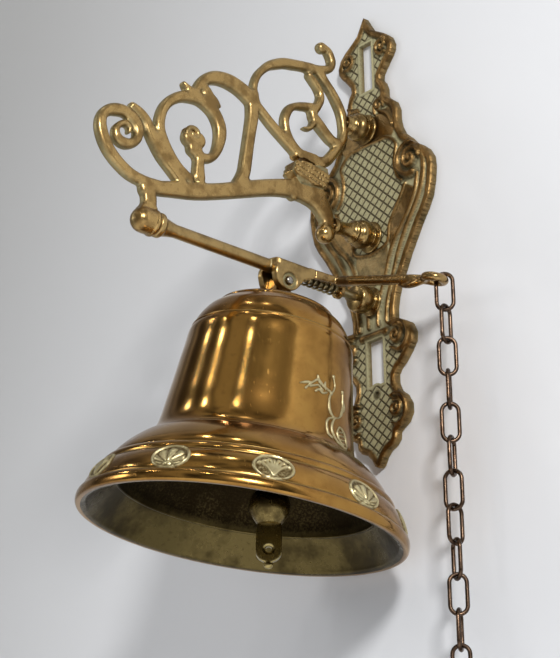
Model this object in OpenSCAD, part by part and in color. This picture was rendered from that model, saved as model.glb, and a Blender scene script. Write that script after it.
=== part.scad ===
// Wall bell of cast brass: an ornamental plate, a scroll bracket standing out from it, and a
// rocker that turns between the two. The bell hangs in the rocker's fork, and a chain on the
// rocker's arm swings it against the clapper.
// X runs along the wall, Y into the wall and Z up. The back of the plate lies on Y = 0.

/* [Wall plate] */
// Height of the plate between its two tips
plate_h = 250; // [236:2:270]
// Width of the plate across its main scrolls
plate_w = 94; // [88:1:104]
// Thickness of the plate at its field
plate_t = 2.8; // [2.4:0.1:4]
// Height of the raised border above the field
border_rise = 1.4; // [1:0.1:2.4]
// Width of the upper hanging slot
slot_w = 9.4; // [7:0.2:12]
// Length of the upper hanging slot
slot_len = 28; // [22:1:32]
// Height of the upper hanging slot's lower end above the middle of the plate
slot_z = 81.5; // [78:0.5:86]
// Width of the lower slot
low_slot_w = 12; // [8:0.5:14]
// Length of the lower slot
low_slot_len = 24.5; // [18:0.5:26]
// Height of the lower slot's upper end, below the middle of the plate
low_slot_top = -57.5; // [-60:0.5:-54]
// Diameter of the hole for the steadying screw
screw_hole_d = 3.6; // [3:0.1:5]
// Height of the steadying screw's hole, below the middle of the plate
screw_hole_z = -87; // [-94:0.5:-86]

/* [Bracket] */
// Distance of the bracket's outer eye from the wall
reach = 146; // [136:1:160]
// Thickness of the bracket casting
bracket_t = 6; // [5:0.5:8]
// Width of the ringed collar where the scrolls are bound together
collar_w = 22; // [20:1:24]
// Thickness of the ringed collar
collar_t = 10; // [8:0.5:12]
// Radius of the domed eye at the bracket's outer end
eye_r = 6.3; // [5.6:0.1:7]
// Radius of the bead round the mouth of the eye
eye_bead_r = 6.7; // [6.3:0.1:7.4]
// Depth of the journal's socket in the eye
socket_depth = 9; // [6:0.5:11]

/* [Turned knobs] */
// Height of the upper knob, which carries the bracket, above the middle of the plate
upper_z = 58.5; // [57:0.5:60]
// Distance from the wall to the bracket's edge at the upper knob
upper_out = 18.6; // [17:0.2:19]
// Height of the lower knob above the middle of the plate
lower_z = -2; // [-3:0.5:-1]
// Radius of the knobs' bulb
bulb_r = 7.6; // [6.5:0.1:8.4]
// Radius of the knobs' flange on the plate
flange_r = 8.4; // [7.8:0.1:9.4]
// Diameter of the screws that hold the knobs
fix_d = 4; // [3:0.5:4.5]

/* [Rocker] */
// Height of the axle at the bracket's eye, above the middle of the plate
axle_z = -29; // [-31:0.5:-27]
// Slope of the axle down towards the wall, in degrees
axle_slope = 3.7; // [3:0.1:4.5]
// Swing at which the rocker hangs at rest, in degrees
rest_swing = 5.3; // [0:0.1:8]
// Distance of the fork's middle from the wall
yoke_out = 63.8; // [60:0.2:68]
// Diameter of the rocker's rod
rod_d = 6.6; // [5.6:0.1:8]
// Diameter of the journals that the rocker turns on
journal_d = 4.4; // [4:0.1:5.6]
// Running clearance of the journals in their bearings, on the radius
running_gap = 0.06; // [0.03:0.01:0.1]
// Gap between the fork's cheeks
fork_gap = 7.4; // [6.6:0.1:8.4]
// Thickness of each cheek
cheek_t = 4; // [3:0.1:5]
// Distance of the bell's pin below the axle
pin_drop = 6.8; // [6.4:0.1:7.6]
// Diameter of the bell's pin
pin_d = 3.6; // [3:0.1:4.4]

/* [Arm and chain] */
// Length of the arm from its root to the middle of its eye
arm_len = 60; // [50:0.5:70]
// Diameter of the arm
arm_d = 4.8; // [4:0.1:5.6]
// Turn of the arm towards the wall, in degrees
arm_yaw = 10.6; // [6.6:0.2:12.6]
// Fall of the arm below the rocker's own level, in degrees
arm_droop = 7.5; // [4:0.5:12]
// Radius of the arm's eye at the middle of its wire
arm_eye_r = 4.7; // [4.4:0.1:5.6]
// Diameter of the chain's wire
wire_d = 2; // [1.8:0.1:2.2]
// Length of a link over all
link_len = 20.4; // [18:0.2:24]
// Width of a link over all
link_w = 10; // [9.6:0.1:11]
// Number of links
link_count = 14; // [11:1:14]
// Diameter of the pull ring at the middle of its wire
ring_d = 30; // [24:1:36]
// Diameter of the pull ring's wire
ring_wire_d = 4; // [3:0.2:5]

/* [Bell] */
// Diameter of the bell at its mouth
mouth_d = 159; // [140:1:160]
// Height of the bell from its crown to its mouth
bell_h = 118; // [108:2:128]
// Radius of the bell at its shoulder
shoulder_r = 39; // [34:0.5:42]
// Radius of the bell at the foot of its waist
waist_r = 48.5; // [45:0.5:52]
// Thickness of the bell's wall at the waist
wall_t = 2.6; // [2:0.1:3.6]
// Thickness of the bell's lip
lip_t = 5.6; // [4:0.2:7]
// Tilt of the bell on its pin, mouth away from the wall, in degrees
bell_tilt = 4; // [3:0.2:6]
// Distance of the crown below the pin
crown_drop = 8.7; // [8.2:0.1:10]

/* [Clapper] */
// Length of the clapper from its pin to the middle of its ball
clapper_len = 90; // [80:0.5:96]
// Radius of the clapper's ball
ball_r = 9.8; // [8:0.1:11]
// Diameter of the clapper's stem
stem_d = 5; // [4:0.1:6]
// Width of the tongue under the ball
tongue_w = 10.6; // [8:0.1:13]
// Distance of the tongue's round end below the ball's middle
tongue_len = 20.5; // [16:0.5:24]
// Turn of the tongue's flat face about the stem, in degrees
tongue_yaw = 40; // [0:5:90]

/* [Hidden] */
$fn = 48;
// Small gap between pieces that are fitted together and don't turn
seat_gap = 0.02;
// Gap between pieces that move past each other
free_gap = 0.4;
// Colours of the metal
brass = "goldenrod";
old_brass = "darkgoldenrod";
dark_iron = "dimgray";
bronze = "saddlebrown";

// Smoothing of an open line through its points
function blend4(a, b, c, d, t) =
  0.5 * (2 * b + (c - a) * t + (2 * a - 5 * b + 4 * c - d) * t * t
  + (3 * b - a - 3 * c + d) * t * t * t);
function smooth(p, n) =
  let (m = len(p) - 1)
  concat([for (i = [0:m - 1]) for (k = [0:n - 1])
    blend4(p[max(i - 1, 0)], p[i], p[i + 1], p[min(i + 2, m)], k / n)], [p[m]]);
// Direction of a line at one of its points
function heading(p, i) =
  let (a = p[max(i - 1, 0)], b = p[min(i + 1, len(p) - 1)], d = [b[0] - a[0], b[1] - a[1]])
  d / norm(d);
// One edge of a band along a line, side is 1 or -1
function band_edge(p, side) =
  [for (i = [0:len(p) - 1]) let (h = heading(p, i))
    [p[i][0] - side * h[1] * p[i][2] / 2, p[i][1] + side * h[0] * p[i][2] / 2]];
function reversed(p) = [for (i = [len(p) - 1:-1:0]) p[i]];

// Round end of a band: way is 1 at its far end and -1 at its near end
function band_end(p, i, way) =
  let (h = way * heading(p, i))
  [for (a = [60:-30:-60])
    [p[i][0] + p[i][2] / 2 * (h[0] * cos(a) - h[1] * sin(a)),
     p[i][1] + p[i][2] / 2 * (h[1] * cos(a) + h[0] * sin(a))]];

// A flat band of changing width, with round ends: each point is [along, up, width]
module band(p) {
  q = smooth(p, 3);
  polygon(concat(band_edge(q, 1), band_end(q, len(q) - 1, 1), reversed(band_edge(q, -1)),
    band_end(q, 0, -1)));
}

// Turns a drawing in (distance from the wall, height) upright, centred on X = 0
module upright(thick) {
  rotate([90, 0, -90]) linear_extrude(thick, center = true) children();
}
// A body turned about an axis that stands out from the wall: points are [radius, distance]
module turned(points) {
  rotate([90, 0, 0]) rotate_extrude() polygon(points);
}
// A body turned about the axle, or any Y axis: points are [radius, along]
module turned_on_axle(points) {
  rotate([-90, 0, 0]) rotate_extrude() polygon(points);
}
// A rod along Y from one place to another
module rod_y(d, y0, y1) {
  translate([0, y0, 0]) rotate([-90, 0, 0]) cylinder(d = d, h = y1 - y0);
}
// A rod along X from one place to another
module rod_x(d, x0, x1) {
  translate([x0, 0, 0]) rotate([0, 90, 0]) cylinder(d = d, h = x1 - x0);
}

// Plate

// The outlines are drawn for a plate of this width and height
drawn_w = 94;
drawn_h = 250;
plate_front = plate_t + border_rise;
// Right half of the plate's outline from tip to tip, as [across, up]
plate_half = [
  [0, 125], [3, 120], [5.5, 116], [10, 113], [15, 110], [19, 106.5], [21, 102], [20.5, 98.5],
  [18.5, 95.5], [16, 93], [13.5, 90], [11.5, 87.5], [11, 84.5], [13, 82], [14.5, 78], [14.5, 74],
  [16, 72], [21, 68], [23, 63], [23, 57.5], [24, 53], [26.5, 48], [31.5, 43.5], [35, 39.5],
  [39.5, 36.5], [43.5, 33], [46.5, 28], [47, 22.5], [46, 15], [44, 7.5], [40.5, 1.5], [36, -4.5],
  [31.5, -11.5], [27, -18.5], [23, -26], [19.5, -32], [17, -38.5], [15.5, -45], [15.5, -50.5],
  [21, -52.5], [26, -55.5], [28.5, -60.5], [28, -65.5], [25, -69.5], [22, -72.5], [19.5, -75],
  [16.5, -77], [14.5, -80], [14.5, -84], [16.5, -88.5], [20.5, -91.5], [23.5, -96.5],
  [23.5, -101.5], [21, -105.5], [17.5, -107.5], [14.5, -109.5], [14, -113], [11.5, -115.5],
  [7, -117.5], [4.5, -120], [2, -124], [0, -125]];
// Right halves of the three sunk fields
top_field = [[0, 118], [4, 113.5], [8, 111], [8.2, 104], [8.5, 98], [11, 94], [9.5, 89],
  [8.6, 85.5], [9.2, 82], [12, 78], [12, 74.5], [7, 72.5], [5, 67.5], [0, 67]];
main_field = [[0, 50], [12.5, 49.5], [17, 44], [20, 36], [20.5, 28], [23, 20], [27, 14],
  [26, 5], [22, -5], [17, -15], [11, -24], [0, -27]];
low_field = [[0, -55], [11, -55], [8.5, -61], [11, -69], [16, -73], [12.5, -78], [12, -84],
  [12.5, -88], [8.5, -92.5], [8, -101], [11, -106], [11.5, -110], [7, -113.5], [2.5, -117],
  [0, -119]];
// Centre lines of the two grooves down each flank, with their width
outer_groove = [[41, 24, 2.2], [42, 14, 2.4], [38, 1, 2.2], [29, -13, 2], [21, -26, 1.8],
  [15.5, -38, 1.6], [14.2, -48, 1.4]];
inner_groove = [[34, 22, 2.4], [35, 12, 2.4], [31, 0, 2.2], [23.5, -13, 2], [17, -25, 1.8],
  [11.5, -37, 1.6], [9.5, -48, 1.4]];
middle_groove = [[3.2, -31, 1.4], [3.4, -38, 1.6], [4.2, -48, 1.4]];
// Radius of the plate left standing around the steadying screw's hole
low_slot_arch_r = max(low_slot_top - low_slot_len - screw_hole_z + 1, screw_hole_d / 2 + 1.5);
// Scrolls on the plate: [across, up, radius]
volutes = [[14.2, 103.2, 5.6], [9.6, 69.5, 3.6], [32.8, 31.5, 7.8], [20, -61, 8.2], [15.5, -98, 7.6]];

function to_plate(p) = [p[0] * plate_w / drawn_w, p[1] * plate_h / drawn_h];
function both_sides(half) =
  let (right = [for (p = half) to_plate(p)])
  concat(right, [for (i = [len(right) - 1:-1:0]) if (right[i][0] > 0) [-right[i][0], right[i][1]]]);

// A flat shape standing in the plate's plane between two distances from the wall
module in_plate(near, far) {
  translate([0, -near, 0]) rotate([90, 0, 0]) linear_extrude(far - near) children();
}
module groove(p) {
  for (side = [0, 1]) mirror([side, 0, 0])
    in_plate(plate_front - border_rise * 0.6, plate_front + 1)
      band([for (q = p) [to_plate(q)[0], to_plate(q)[1], q[2]]]);
}
module volute(v) {
  c = to_plate(v);
  ring_out = plate_front + 0.8;
  translate([c[0], -plate_t, c[1]]) rotate([90, 0, 0]) {
    cylinder(r = v[2] * 0.3, h = ring_out - plate_t);
    difference() {
      cylinder(r = v[2], h = ring_out - plate_t);
      translate([0, 0, -1]) cylinder(r = v[2] * 0.58, h = ring_out - plate_t + 2);
    }
  }
}
module wall_plate() {
  color(old_brass) difference() {
    union() {
      difference() {
        in_plate(0, plate_front) polygon(both_sides(plate_half));
        in_plate(plate_t, plate_front + 1) polygon(both_sides(top_field));
        in_plate(plate_t, plate_front + 1) polygon(both_sides(main_field));
        in_plate(plate_t, plate_front + 1) polygon(both_sides(low_field));
        groove(outer_groove);
        groove(inner_groove);
        groove(middle_groove);
      }
      for (v = volutes) {
        volute(v);
        mirror([1, 0, 0]) volute(v);
      }
      // Bar over the lower slot
      in_plate(plate_t - 1, plate_front + 0.6)
        translate([-low_slot_w / 2 - 3, low_slot_top + 1.5]) square([low_slot_w + 6, 3.5]);
    }
    in_plate(-1, plate_front + 2)
      translate([-slot_w / 2, slot_z]) square([slot_w, slot_len]);
    in_plate(-1, plate_front + 2) difference() {
      translate([-low_slot_w / 2, low_slot_top - low_slot_len]) square([low_slot_w, low_slot_len]);
      translate([0, screw_hole_z]) circle(r = low_slot_arch_r);
    }
    in_plate(-1, plate_front + 2) translate([0, screw_hole_z]) circle(d = screw_hole_d);
    for (z = [upper_z, lower_z, bearing_z]) translate([0, 0, z]) fixing_hole();
  }
}
// Hole for a knob's screw, countersunk in the plate's back
fix_head_r = fix_d;
module fixing_hole() {
  r = fix_d / 2 + seat_gap;
  head_r = fix_head_r + seat_gap;
  turned([[0, -1], [head_r + 1, -1], [head_r, 0], [r, head_r - r], [r, plate_front + 1],
    [0, plate_front + 1]]);
}
module fixing_screw(tip) {
  r = fix_d / 2;
  color(bronze) difference() {
    turned([[0, 0], [fix_head_r, 0], [r, fix_head_r - r], [r, tip], [0, tip]]);
    translate([-fix_head_r, -0.8, -0.5]) cube([2 * fix_head_r, 1.8, 1]);
  }
}
module upper_fixing_screw() { translate([0, 0, upper_z]) fixing_screw(upper_seat + fix_grip); }
module lower_fixing_screw() { translate([0, 0, lower_z]) fixing_screw(lower_seat + fix_grip); }
module bearing_fixing_screw() {
  translate([0, 0, bearing_z]) fixing_screw(bearing_bottom - 1.2);
}

// Knobs

// The scrolls are drawn for a bracket that starts and ends at these distances from the wall
drawn_out = 18.6;
drawn_reach = 146;
drawn_beam_end = 29.6;
stretch = (reach - upper_out) / (drawn_reach - drawn_out);
function at(p) = [upper_out + (p[0] - drawn_out) * stretch, p[1], p[2]];
// Depth to which the bracket is faced for a knob, and to which a screw holds it
facing = 0.6;
fix_grip = 3.4;
upper_seat = upper_out + facing;
lower_seat = at([drawn_beam_end, 0])[0] + facing;
knob_neck_r = 3.8;
bearing_mid = 11;
bearing_z = axle_z - (reach - bearing_mid) * tan(axle_slope);
bearing_front = 16;
bearing_bottom = 8.8;

function knob_foot(out) = [[0, out], [flange_r - 0.8, out], [flange_r, out + 0.8],
  [flange_r - 0.4, out + 1.6], [flange_r - 2.6, out + 2.2], [flange_r - 3, out + 3]];
function bulb(out, r, half) =
  [for (a = [-70:20:70]) [r - half * (1 - cos(a)) * 0.9, out + half * sin(a)]];

module knob_bore(far) {
  translate([0, 1, 0]) rotate([90, 0, 0]) cylinder(r = fix_d / 2 + seat_gap, h = far + 2);
}
module upper_standoff() {
  color(brass) translate([0, 0, upper_z]) difference() {
    turned(concat(knob_foot(plate_front), bulb(plate_front + 6.2, bulb_r, 3.6),
      [[5, plate_front + 10], [5.4, plate_front + 11], [knob_neck_r + 0.6, upper_seat - 1.4],
       [knob_neck_r, upper_seat], [0, upper_seat]]));
    knob_bore(upper_seat);
  }
}
module lower_standoff() {
  color(brass) translate([0, 0, lower_z]) difference() {
    turned(concat(knob_foot(plate_t), bulb(plate_t + 7.6, bulb_r, 4.4),
      [[5.6, plate_t + 12.2], [6, plate_t + 13.2], [5.2, plate_t + 14.4],
       [3.6, lower_seat - 4], [knob_neck_r, lower_seat - 2.6], [knob_neck_r + 0.6, lower_seat - 1.4],
       [knob_neck_r, lower_seat], [0, lower_seat]]));
    knob_bore(lower_seat);
  }
}
// The knob under the lower one holds the axle's wall end in a blind bore
module bearing_knob() {
  color(brass) difference() {
    translate([0, 0, bearing_z]) turned([[0, plate_front], [flange_r - 1.4, plate_front],
      [flange_r - 0.8, plate_front + 0.8], [flange_r - 1.4, plate_front + 1.6],
      [5.4, plate_front + 2.4], [5.4, plate_front + 3], [7, plate_front + 4.6],
      [7.4, plate_front + 6.6], [7.4, bearing_front - 2], [6.6, bearing_front],
      [0, bearing_front]]);
    translate([0, 0, bearing_z]) translate([0, 1, 0]) rotate([90, 0, 0])
      cylinder(r = fix_d / 2 + seat_gap, h = bearing_bottom - 0.2);
    on_axle() rod_y(journal_d + 2 * running_gap, axle_y(bearing_front + 2),
      axle_y(bearing_bottom));
  }
}

// Bracket

// Centre lines of the scrolls as [distance from the wall, height, width]
outer_scroll = [[139.5, -9.5, 5.4], [147.5, -9.5, 5.5], [156, -8, 6], [163, -4, 6.2],
  [168.5, 1, 6.4], [172, 7, 6.4], [173.5, 13, 6], [172.5, 18, 5.2], [169, 21.5, 5.6],
  [165, 23, 6.2], [160.5, 23.5, 6], [156.5, 22, 6], [153.5, 19.5, 6], [152, 16, 5.6],
  [152.5, 11.5, 4.9], [155, 8.5, 4.7], [159, 7, 5.4], [162.5, 7.5, 5.4], [164.5, 9.5, 4.8],
  [165, 12.5, 3.8], [163.5, 15, 3.2], [161, 17, 3.2], [158.5, 17, 3], [157, 15.5, 2.4],
  [157.5, 13.5, 2.2]];
leaf_bar = [[155.5, 27.5, 4], [151.5, 25.5, 5.2], [147.5, 22, 5.7], [145, 17, 6.2],
  [142, 12, 6.2], [138, 6.5, 6.2], [132.5, 1.5, 6.2], [127, -3.5, 6.2]];
c_scroll = [[122, -1, 5.2], [128.5, 2.5, 6.2], [133.5, 8, 6.2], [137.5, 14.5, 6.2],
  [139.5, 20.5, 5.8], [139, 26.5, 5.4], [137, 32, 5.2], [133, 37, 5.2], [127, 41, 5.6],
  [121, 42.5, 5.8], [115.5, 43, 6.4], [110, 41, 6.8], [106, 38, 7], [103, 32.5, 7],
  [102.5, 27, 6.6], [104, 20.5, 5.6], [106.5, 15.5, 4.6], [110, 12.8, 4.8],
  [114, 12.2, 5]];
bulb_stem = [[118.5, 15.5, 9], [116, 11.5, 6], [116, 6, 6.2], [116, 1, 7.4]];
bulb_lobes = [[121.5, 20.5, 4.4], [116.5, 20.5, 4.4]];
third_arch = [[118.5, 45, 4.4], [116, 50, 4.8], [112, 54.5, 5.8], [106.5, 57.5, 7],
  [100.5, 58.5, 7.7], [94.5, 58, 8.2], [88.5, 56, 8.4], [84, 53.5, 8.6], [81, 50.5, 7]];
arch_hook = [[111.5, 48.5, 6.4], [109, 45.5, 6.4], [106, 44, 5.4], [103, 42.5, 1.6]];
arch_thorn = [[118.5, 46, 4], [122, 46, 4.8], [125, 48.5, 2.6]];
upright_bar = [[82.5, 53.5, 6.6], [82, 44, 6.8], [83.5, 35, 6.4], [85, 26.5, 6.4],
  [86.5, 17.5, 6.6], [88, 10.5, 6.8], [92, 3, 7.2]];
diagonal_bar = [[80.5, 56.5, 4.4], [79.5, 51.5, 4.6], [75.5, 47.5, 5], [69.5, 42.5, 5.2],
  [63, 38, 5.4], [52.5, 31, 5.6]];
top_loop = [[81, 56.5, 4], [81, 60, 4], [80, 64, 4], [78, 68, 4], [74.5, 72, 4.2],
  [70.5, 75.5, 4.9], [65.5, 78, 5.6], [60.5, 80, 5.6], [55, 81, 5.6], [49, 82, 5.4],
  [43.5, 82.5, 5.6], [38.5, 83, 5.2], [33.5, 84.5, 4.6], [29.5, 86.5, 4.4], [28, 90, 4.6],
  [29, 93.5, 4.8], [30.5, 96, 4.6], [33, 97.5, 3.8]];
finial = [34.8, 96.9, 3.1];
wall_loop = [[37.5, 82.5, 6.4], [33.5, 78, 5], [29.5, 74, 4.9], [26, 69.5, 5.4],
  [23, 64.5, 5.4], [21.5, 60, 5.4], [21, 54.5, 5], [21.5, 49.5, 4.8], [24, 44, 4.9],
  [28.5, 38, 5.4], [33.5, 32.5, 5.8], [38.5, 30.5, 6], [43.5, 30.5, 5.6], [47, 31, 5]];
s_curve = [[25, 45.5, 4], [29, 45, 5.6], [33, 47.5, 5.8], [37, 51, 6.2], [40.5, 54, 6.2],
  [42, 57, 5.2], [39.5, 61, 4.8], [37, 65, 4.6], [36.5, 69, 4.2], [38.5, 73, 4.4],
  [41, 75.5, 4.4], [44, 78, 3.6]];
inner_scroll = [[39, 61, 4.4], [44, 60, 4.6], [49, 59, 4.4], [54, 57.5, 3.8],
  [58, 54.5, 4.6], [60.5, 49.5, 4.8], [60.8, 45, 4.6], [59.5, 40.5, 4.6], [57, 36.5, 4.6],
  [53, 33, 4.6], [49, 31, 4.6]];
inner_tip = [[40.5, 55, 4.6], [42, 51, 3.4], [45, 47.5, 2.8], [48.5, 47, 1.4]];
beam = [[143, -11.5, 7], [131, -9, 8], [117.5, -6.5, 8.4], [103, -2.5, 8.2], [88, 2.5, 8.6],
  [72.5, 7.5, 8.8], [60, 10.5, 9.8], [49.5, 11.5, 12.2], [42, 10, 12.6], [37, 5.5, 11],
  [34, 0, 9], [33.5, -5, 8]];
beam_knob = [56.5, 7, 2.4];
beam_ball = [35, -8, 5];
strokes = [outer_scroll, leaf_bar, c_scroll, bulb_stem, third_arch, arch_hook, arch_thorn,
  upright_bar, diagonal_bar, top_loop, wall_loop, s_curve, inner_scroll, inner_tip, beam];
// The leg comes down from the beam's outer end to the eye
leg = [at([147, -13, 8.4]), at([145.5, -16, 8]), at([145.4, -21, 8]), [reach + 0.9, axle_z + 4.5, 8.4]];
// The collar binds the scrolls to the beam near the wall
collar_mid = [46, 20.6];
collar_h = 11.6;
collar_slant = 6;
collar_rings = 4;
ring_pitch = 2.8;
ring_h = 1.8;
ring_slant = 15;

module collar_shape() {
  w = collar_w / 2;
  h = collar_h / 2;
  translate([at(collar_mid)[0], collar_mid[1]]) rotate(-collar_slant / 2)
    polygon([[-w, h], [w - 1, h], [w + 1.5, 0], [w - 3.5, -h], [3 - w, -h], [-w - 0.5, 0]]);
}
module scroll_bracket() {
  color(brass) difference() {
    union() {
      upright(bracket_t) {
        for (s = strokes) band([for (p = s) at(p)]);
        band(leg);
        for (c = concat(bulb_lobes, [finial, beam_knob]))
          translate([at(c)[0], c[1]]) circle(r = c[2]);
      }
      upright(collar_t - 2) collar_shape();
      upright(collar_t) intersection() {
        collar_shape();
        translate([at(collar_mid)[0], collar_mid[1]]) rotate(ring_slant)
          for (i = [0:collar_rings - 1])
            translate([-collar_w, (i - (collar_rings - 1) / 2) * ring_pitch - ring_h / 2])
              square([2 * collar_w, ring_h]);
      }
      translate([0, -at(beam_ball)[0], beam_ball[1]]) sphere(r = beam_ball[2]);
      on_axle() turned_on_axle(concat(
        [for (a = [90:-15:0]) [eye_r * cos(a), eye_mid - eye_r * sin(a)]],
        [[eye_r, eye_mouth - 2.4], [eye_bead_r, eye_mouth - 1.8], [eye_bead_r, eye_mouth - 0.6],
         [eye_bead_r - 0.6, eye_mouth], [0, eye_mouth]]));
    }
    on_axle() rod_y(journal_d + 2 * running_gap, eye_mouth - socket_depth, eye_mouth + 1);
    // Flat faces and threaded holes where the knobs' screws hold the bracket
    for (k = [[upper_z, upper_seat], [lower_z, lower_seat]]) translate([0, 0, k[0]]) {
      rotate([90, 0, 0]) translate([0, 0, k[1] - 4]) cylinder(r = knob_neck_r + 0.8, h = 4);
      rotate([90, 0, 0]) translate([0, 0, k[1] - 1])
        cylinder(r = fix_d / 2 + seat_gap, h = fix_grip + 1.4);
    }
  }
}

// Axle

// Middle of the eye's dome and mouth of its socket, along the axle from the eye
eye_mid = -2.2;
eye_mouth = 4.2;
// Frame of the axle: its origin is at the eye and its Y runs along the axle to the wall
module on_axle() {
  translate([0, -reach, axle_z]) rotate([-axle_slope, 0, 0]) children();
}
// Place along the axle of a distance from the wall
function axle_y(out) = (reach - out) / cos(axle_slope);
yoke_y = axle_y(yoke_out);
// Frame of the rocker: its origin is on the axle over the bell's pin
module on_rocker() {
  on_axle() translate([0, yoke_y, 0]) rotate([0, rest_swing, 0]) children();
}
// Turns back to the wall's own directions from inside the rocker's frame
module plumb() {
  rotate([0, -rest_swing, 0]) rotate([axle_slope, 0, 0]) children();
}

cheek_out = fork_gap / 2 + cheek_t;
// Ends of the fork along the axle from the pin, and the arm's root behind it
fork_near = -9.4;
fork_far = 12;
root_y = 15.6;
fork_top = rod_d / 2;
cheek_side = [[fork_near, fork_top], [fork_near, -4.8], [-7, -pin_drop - 4.8], [4.2, -pin_drop - 4.6],
  [9.4, -5], [root_y, -1.2], [root_y, fork_top]];
far_cheek_side = [[fork_near, fork_top], [fork_near, -4.8], [-6.5, -pin_drop - 4.4],
  [3.8, -pin_drop - 4.4], [8, -4.8], [fork_far, -1.2], [fork_far, fork_top]];
journal_y = axle_y(bearing_bottom) - yoke_y - 0.5;
eye_y = -yoke_y;
near_recess_r = 3.7;
near_recess = 1.2;

module cheek(x, thick, side) {
  translate([x, 0, 0]) rotate([90, 0, 90]) linear_extrude(thick) polygon(side);
}
module rocker() {
  color(brass) on_rocker() difference() {
    union() {
      turned_on_axle([[0, eye_y + eye_mouth - socket_depth + 0.6],
        [journal_d / 2, eye_y + eye_mouth - socket_depth + 0.6],
        [journal_d / 2, eye_y + eye_mouth + free_gap],
        [eye_bead_r - 1.4, eye_y + eye_mouth + free_gap],
        [eye_bead_r - 0.6, eye_y + eye_mouth + free_gap + 0.8],
        [eye_bead_r - 0.6, eye_y + eye_mouth + 3.4], [eye_bead_r - 1.6, eye_y + eye_mouth + 4.2],
        [rod_d / 2 + 1.6, eye_y + eye_mouth + 4.6], [rod_d / 2 + 0.7, eye_y + eye_mouth + 8],
        [rod_d / 2, eye_y + eye_mouth + 12], [rod_d / 2, fork_near + 0.4], [0, fork_near + 0.4]]);
      cheek(fork_gap / 2, cheek_t, cheek_side);
      cheek(-cheek_out, cheek_t, far_cheek_side);
      // Web over the bell's lug, and the blocks at its two ends
      translate([-cheek_out, fork_near, -pin_drop + lug_r + free_gap])
        cube([2 * cheek_out, fork_far - fork_near, fork_top + pin_drop - lug_r - free_gap]);
      translate([-fork_gap / 2 - 1, fork_far - block_len, -fork_top])
        cube([fork_gap + 2, block_len, 2 * fork_top]);
    }
    translate([0, 0, -pin_drop]) rod_x(pin_d + 2 * seat_gap, -cheek_out - 1, cheek_out + 1);
    translate([0, 0, -pin_drop])
      rod_x(2 * near_recess_r, cheek_out - near_recess, cheek_out + 1);
    rod_y(journal_d + 2 * seat_gap, stub_y, fork_far + 1);
  }
}
// The wall end of the axle is a steel pin pressed into the block behind the fork's gap
block_len = 5;
stub_y = fork_far - block_len + 0.6;
module axle_journal() {
  color(dark_iron) on_rocker() rod_y(journal_d, stub_y, journal_y);
}

// Spring
spring_wire = 1.2;
spring_r = journal_d / 2 + 0.3 + spring_wire / 2;
spring_turns = 6.5;
spring_y0 = fork_far + 0.3 + spring_wire / 2;
collar_y = 35.5;
collar_len = 3;
spring_y1 = collar_y - spring_wire / 2 - 0.3;
coil_steps = 18;
coil_sides = 6;
function coil_point(i, k) =
  let (steps = spring_turns * coil_steps, a = 360 * i / coil_steps, b = 360 * k / coil_sides,
    r = spring_r + spring_wire / 2 * cos(b))
  [r * cos(a), spring_y0 + (spring_y1 - spring_y0) * i / steps + spring_wire / 2 * sin(b),
   r * sin(a)];
module return_spring() {
  rings = spring_turns * coil_steps;
  points = [for (i = [0:rings]) for (k = [0:coil_sides - 1]) coil_point(i, k)];
  sides = [for (i = [0:rings - 1]) for (k = [0:coil_sides - 1])
    let (n = (k + 1) % coil_sides)
    [i * coil_sides + k, (i + 1) * coil_sides + k, (i + 1) * coil_sides + n, i * coil_sides + n]];
  ends = [[for (k = [0:coil_sides - 1]) k],
    [for (k = [coil_sides - 1:-1:0]) rings * coil_sides + k]];
  color(dark_iron) on_rocker() polyhedron(points, concat(sides, ends), convexity = 10);
}
module spring_collar() {
  color(brass) on_rocker() difference() {
    turned_on_axle([[0, collar_y], [3.6, collar_y], [4.2, collar_y + 0.6],
      [4.2, collar_y + collar_len - 0.6], [3.6, collar_y + collar_len], [0, collar_y + collar_len]]);
    rod_y(journal_d + 2 * seat_gap, collar_y - 1, collar_y + collar_len + 1);
  }
}

// Bell pin, with a riveted head over a washer
pin_washer_t = 0.8;
module bell_pin() {
  color(bronze) on_rocker() translate([0, 0, -pin_drop]) rotate([0, 90, 0])
    translate([0, 0, -cheek_out]) rotate_extrude() polygon([[0, -2], [pin_d / 2, -2], [2.8, -1.4],
      [2.8, -pin_washer_t], [pin_d / 2, -pin_washer_t], [pin_d / 2, 2 * cheek_out - 0.4],
      [pin_d / 2 - 0.8, 2 * cheek_out + 0.2], [0, 2 * cheek_out + 0.4]]);
}
module bell_pin_washer() {
  color(brass) on_rocker() translate([0, 0, -pin_drop]) difference() {
    rod_x(8, -cheek_out - pin_washer_t, -cheek_out);
    rod_x(pin_d + 2 * seat_gap, -cheek_out - 2, 0);
  }
}

// Arm with its eye

// Place in the rocker's frame where the arm turns away from the fork
elbow = [7.2, 30.7, 1.8];
strap_t = 3.2;
arm_eye_wire = 4.4;
module chain_arm() {
  color(old_brass) on_rocker() {
    translate([cheek_out - strap_t, 0, 0]) rotate([90, 0, 90]) linear_extrude(strap_t)
      polygon([[root_y, -1.2], [elbow[1] - 4, elbow[2] - 2.2], [elbow[1], elbow[2] - 2],
        [elbow[1] + 1.6, elbow[2] - 0.6], [elbow[1] + 1.6, elbow[2] + 1.4],
        [elbow[1], elbow[2] + 2.4], [24, fork_top + 0.2], [root_y, fork_top]]);
    translate(elbow) rotate([0, 0, arm_yaw]) rotate([0, arm_droop, 0]) {
      sphere(d = arm_d);
      rotate([0, 90, 0]) cylinder(d = arm_d, h = arm_len - arm_eye_r);
      translate([arm_len, 0, 0]) rotate_extrude() translate([arm_eye_r, 0]) circle(d = arm_eye_wire);
    }
  }
}

// Bell

// Frame of the bell: its origin is on the pin and its Z runs along the bell
module on_bell() {
  on_rocker() translate([0, 0, -pin_drop]) rotate([-bell_tilt, 0, 0]) children();
}
mouth_r = mouth_d / 2;
crown_t = wall_t + 0.6;
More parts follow.
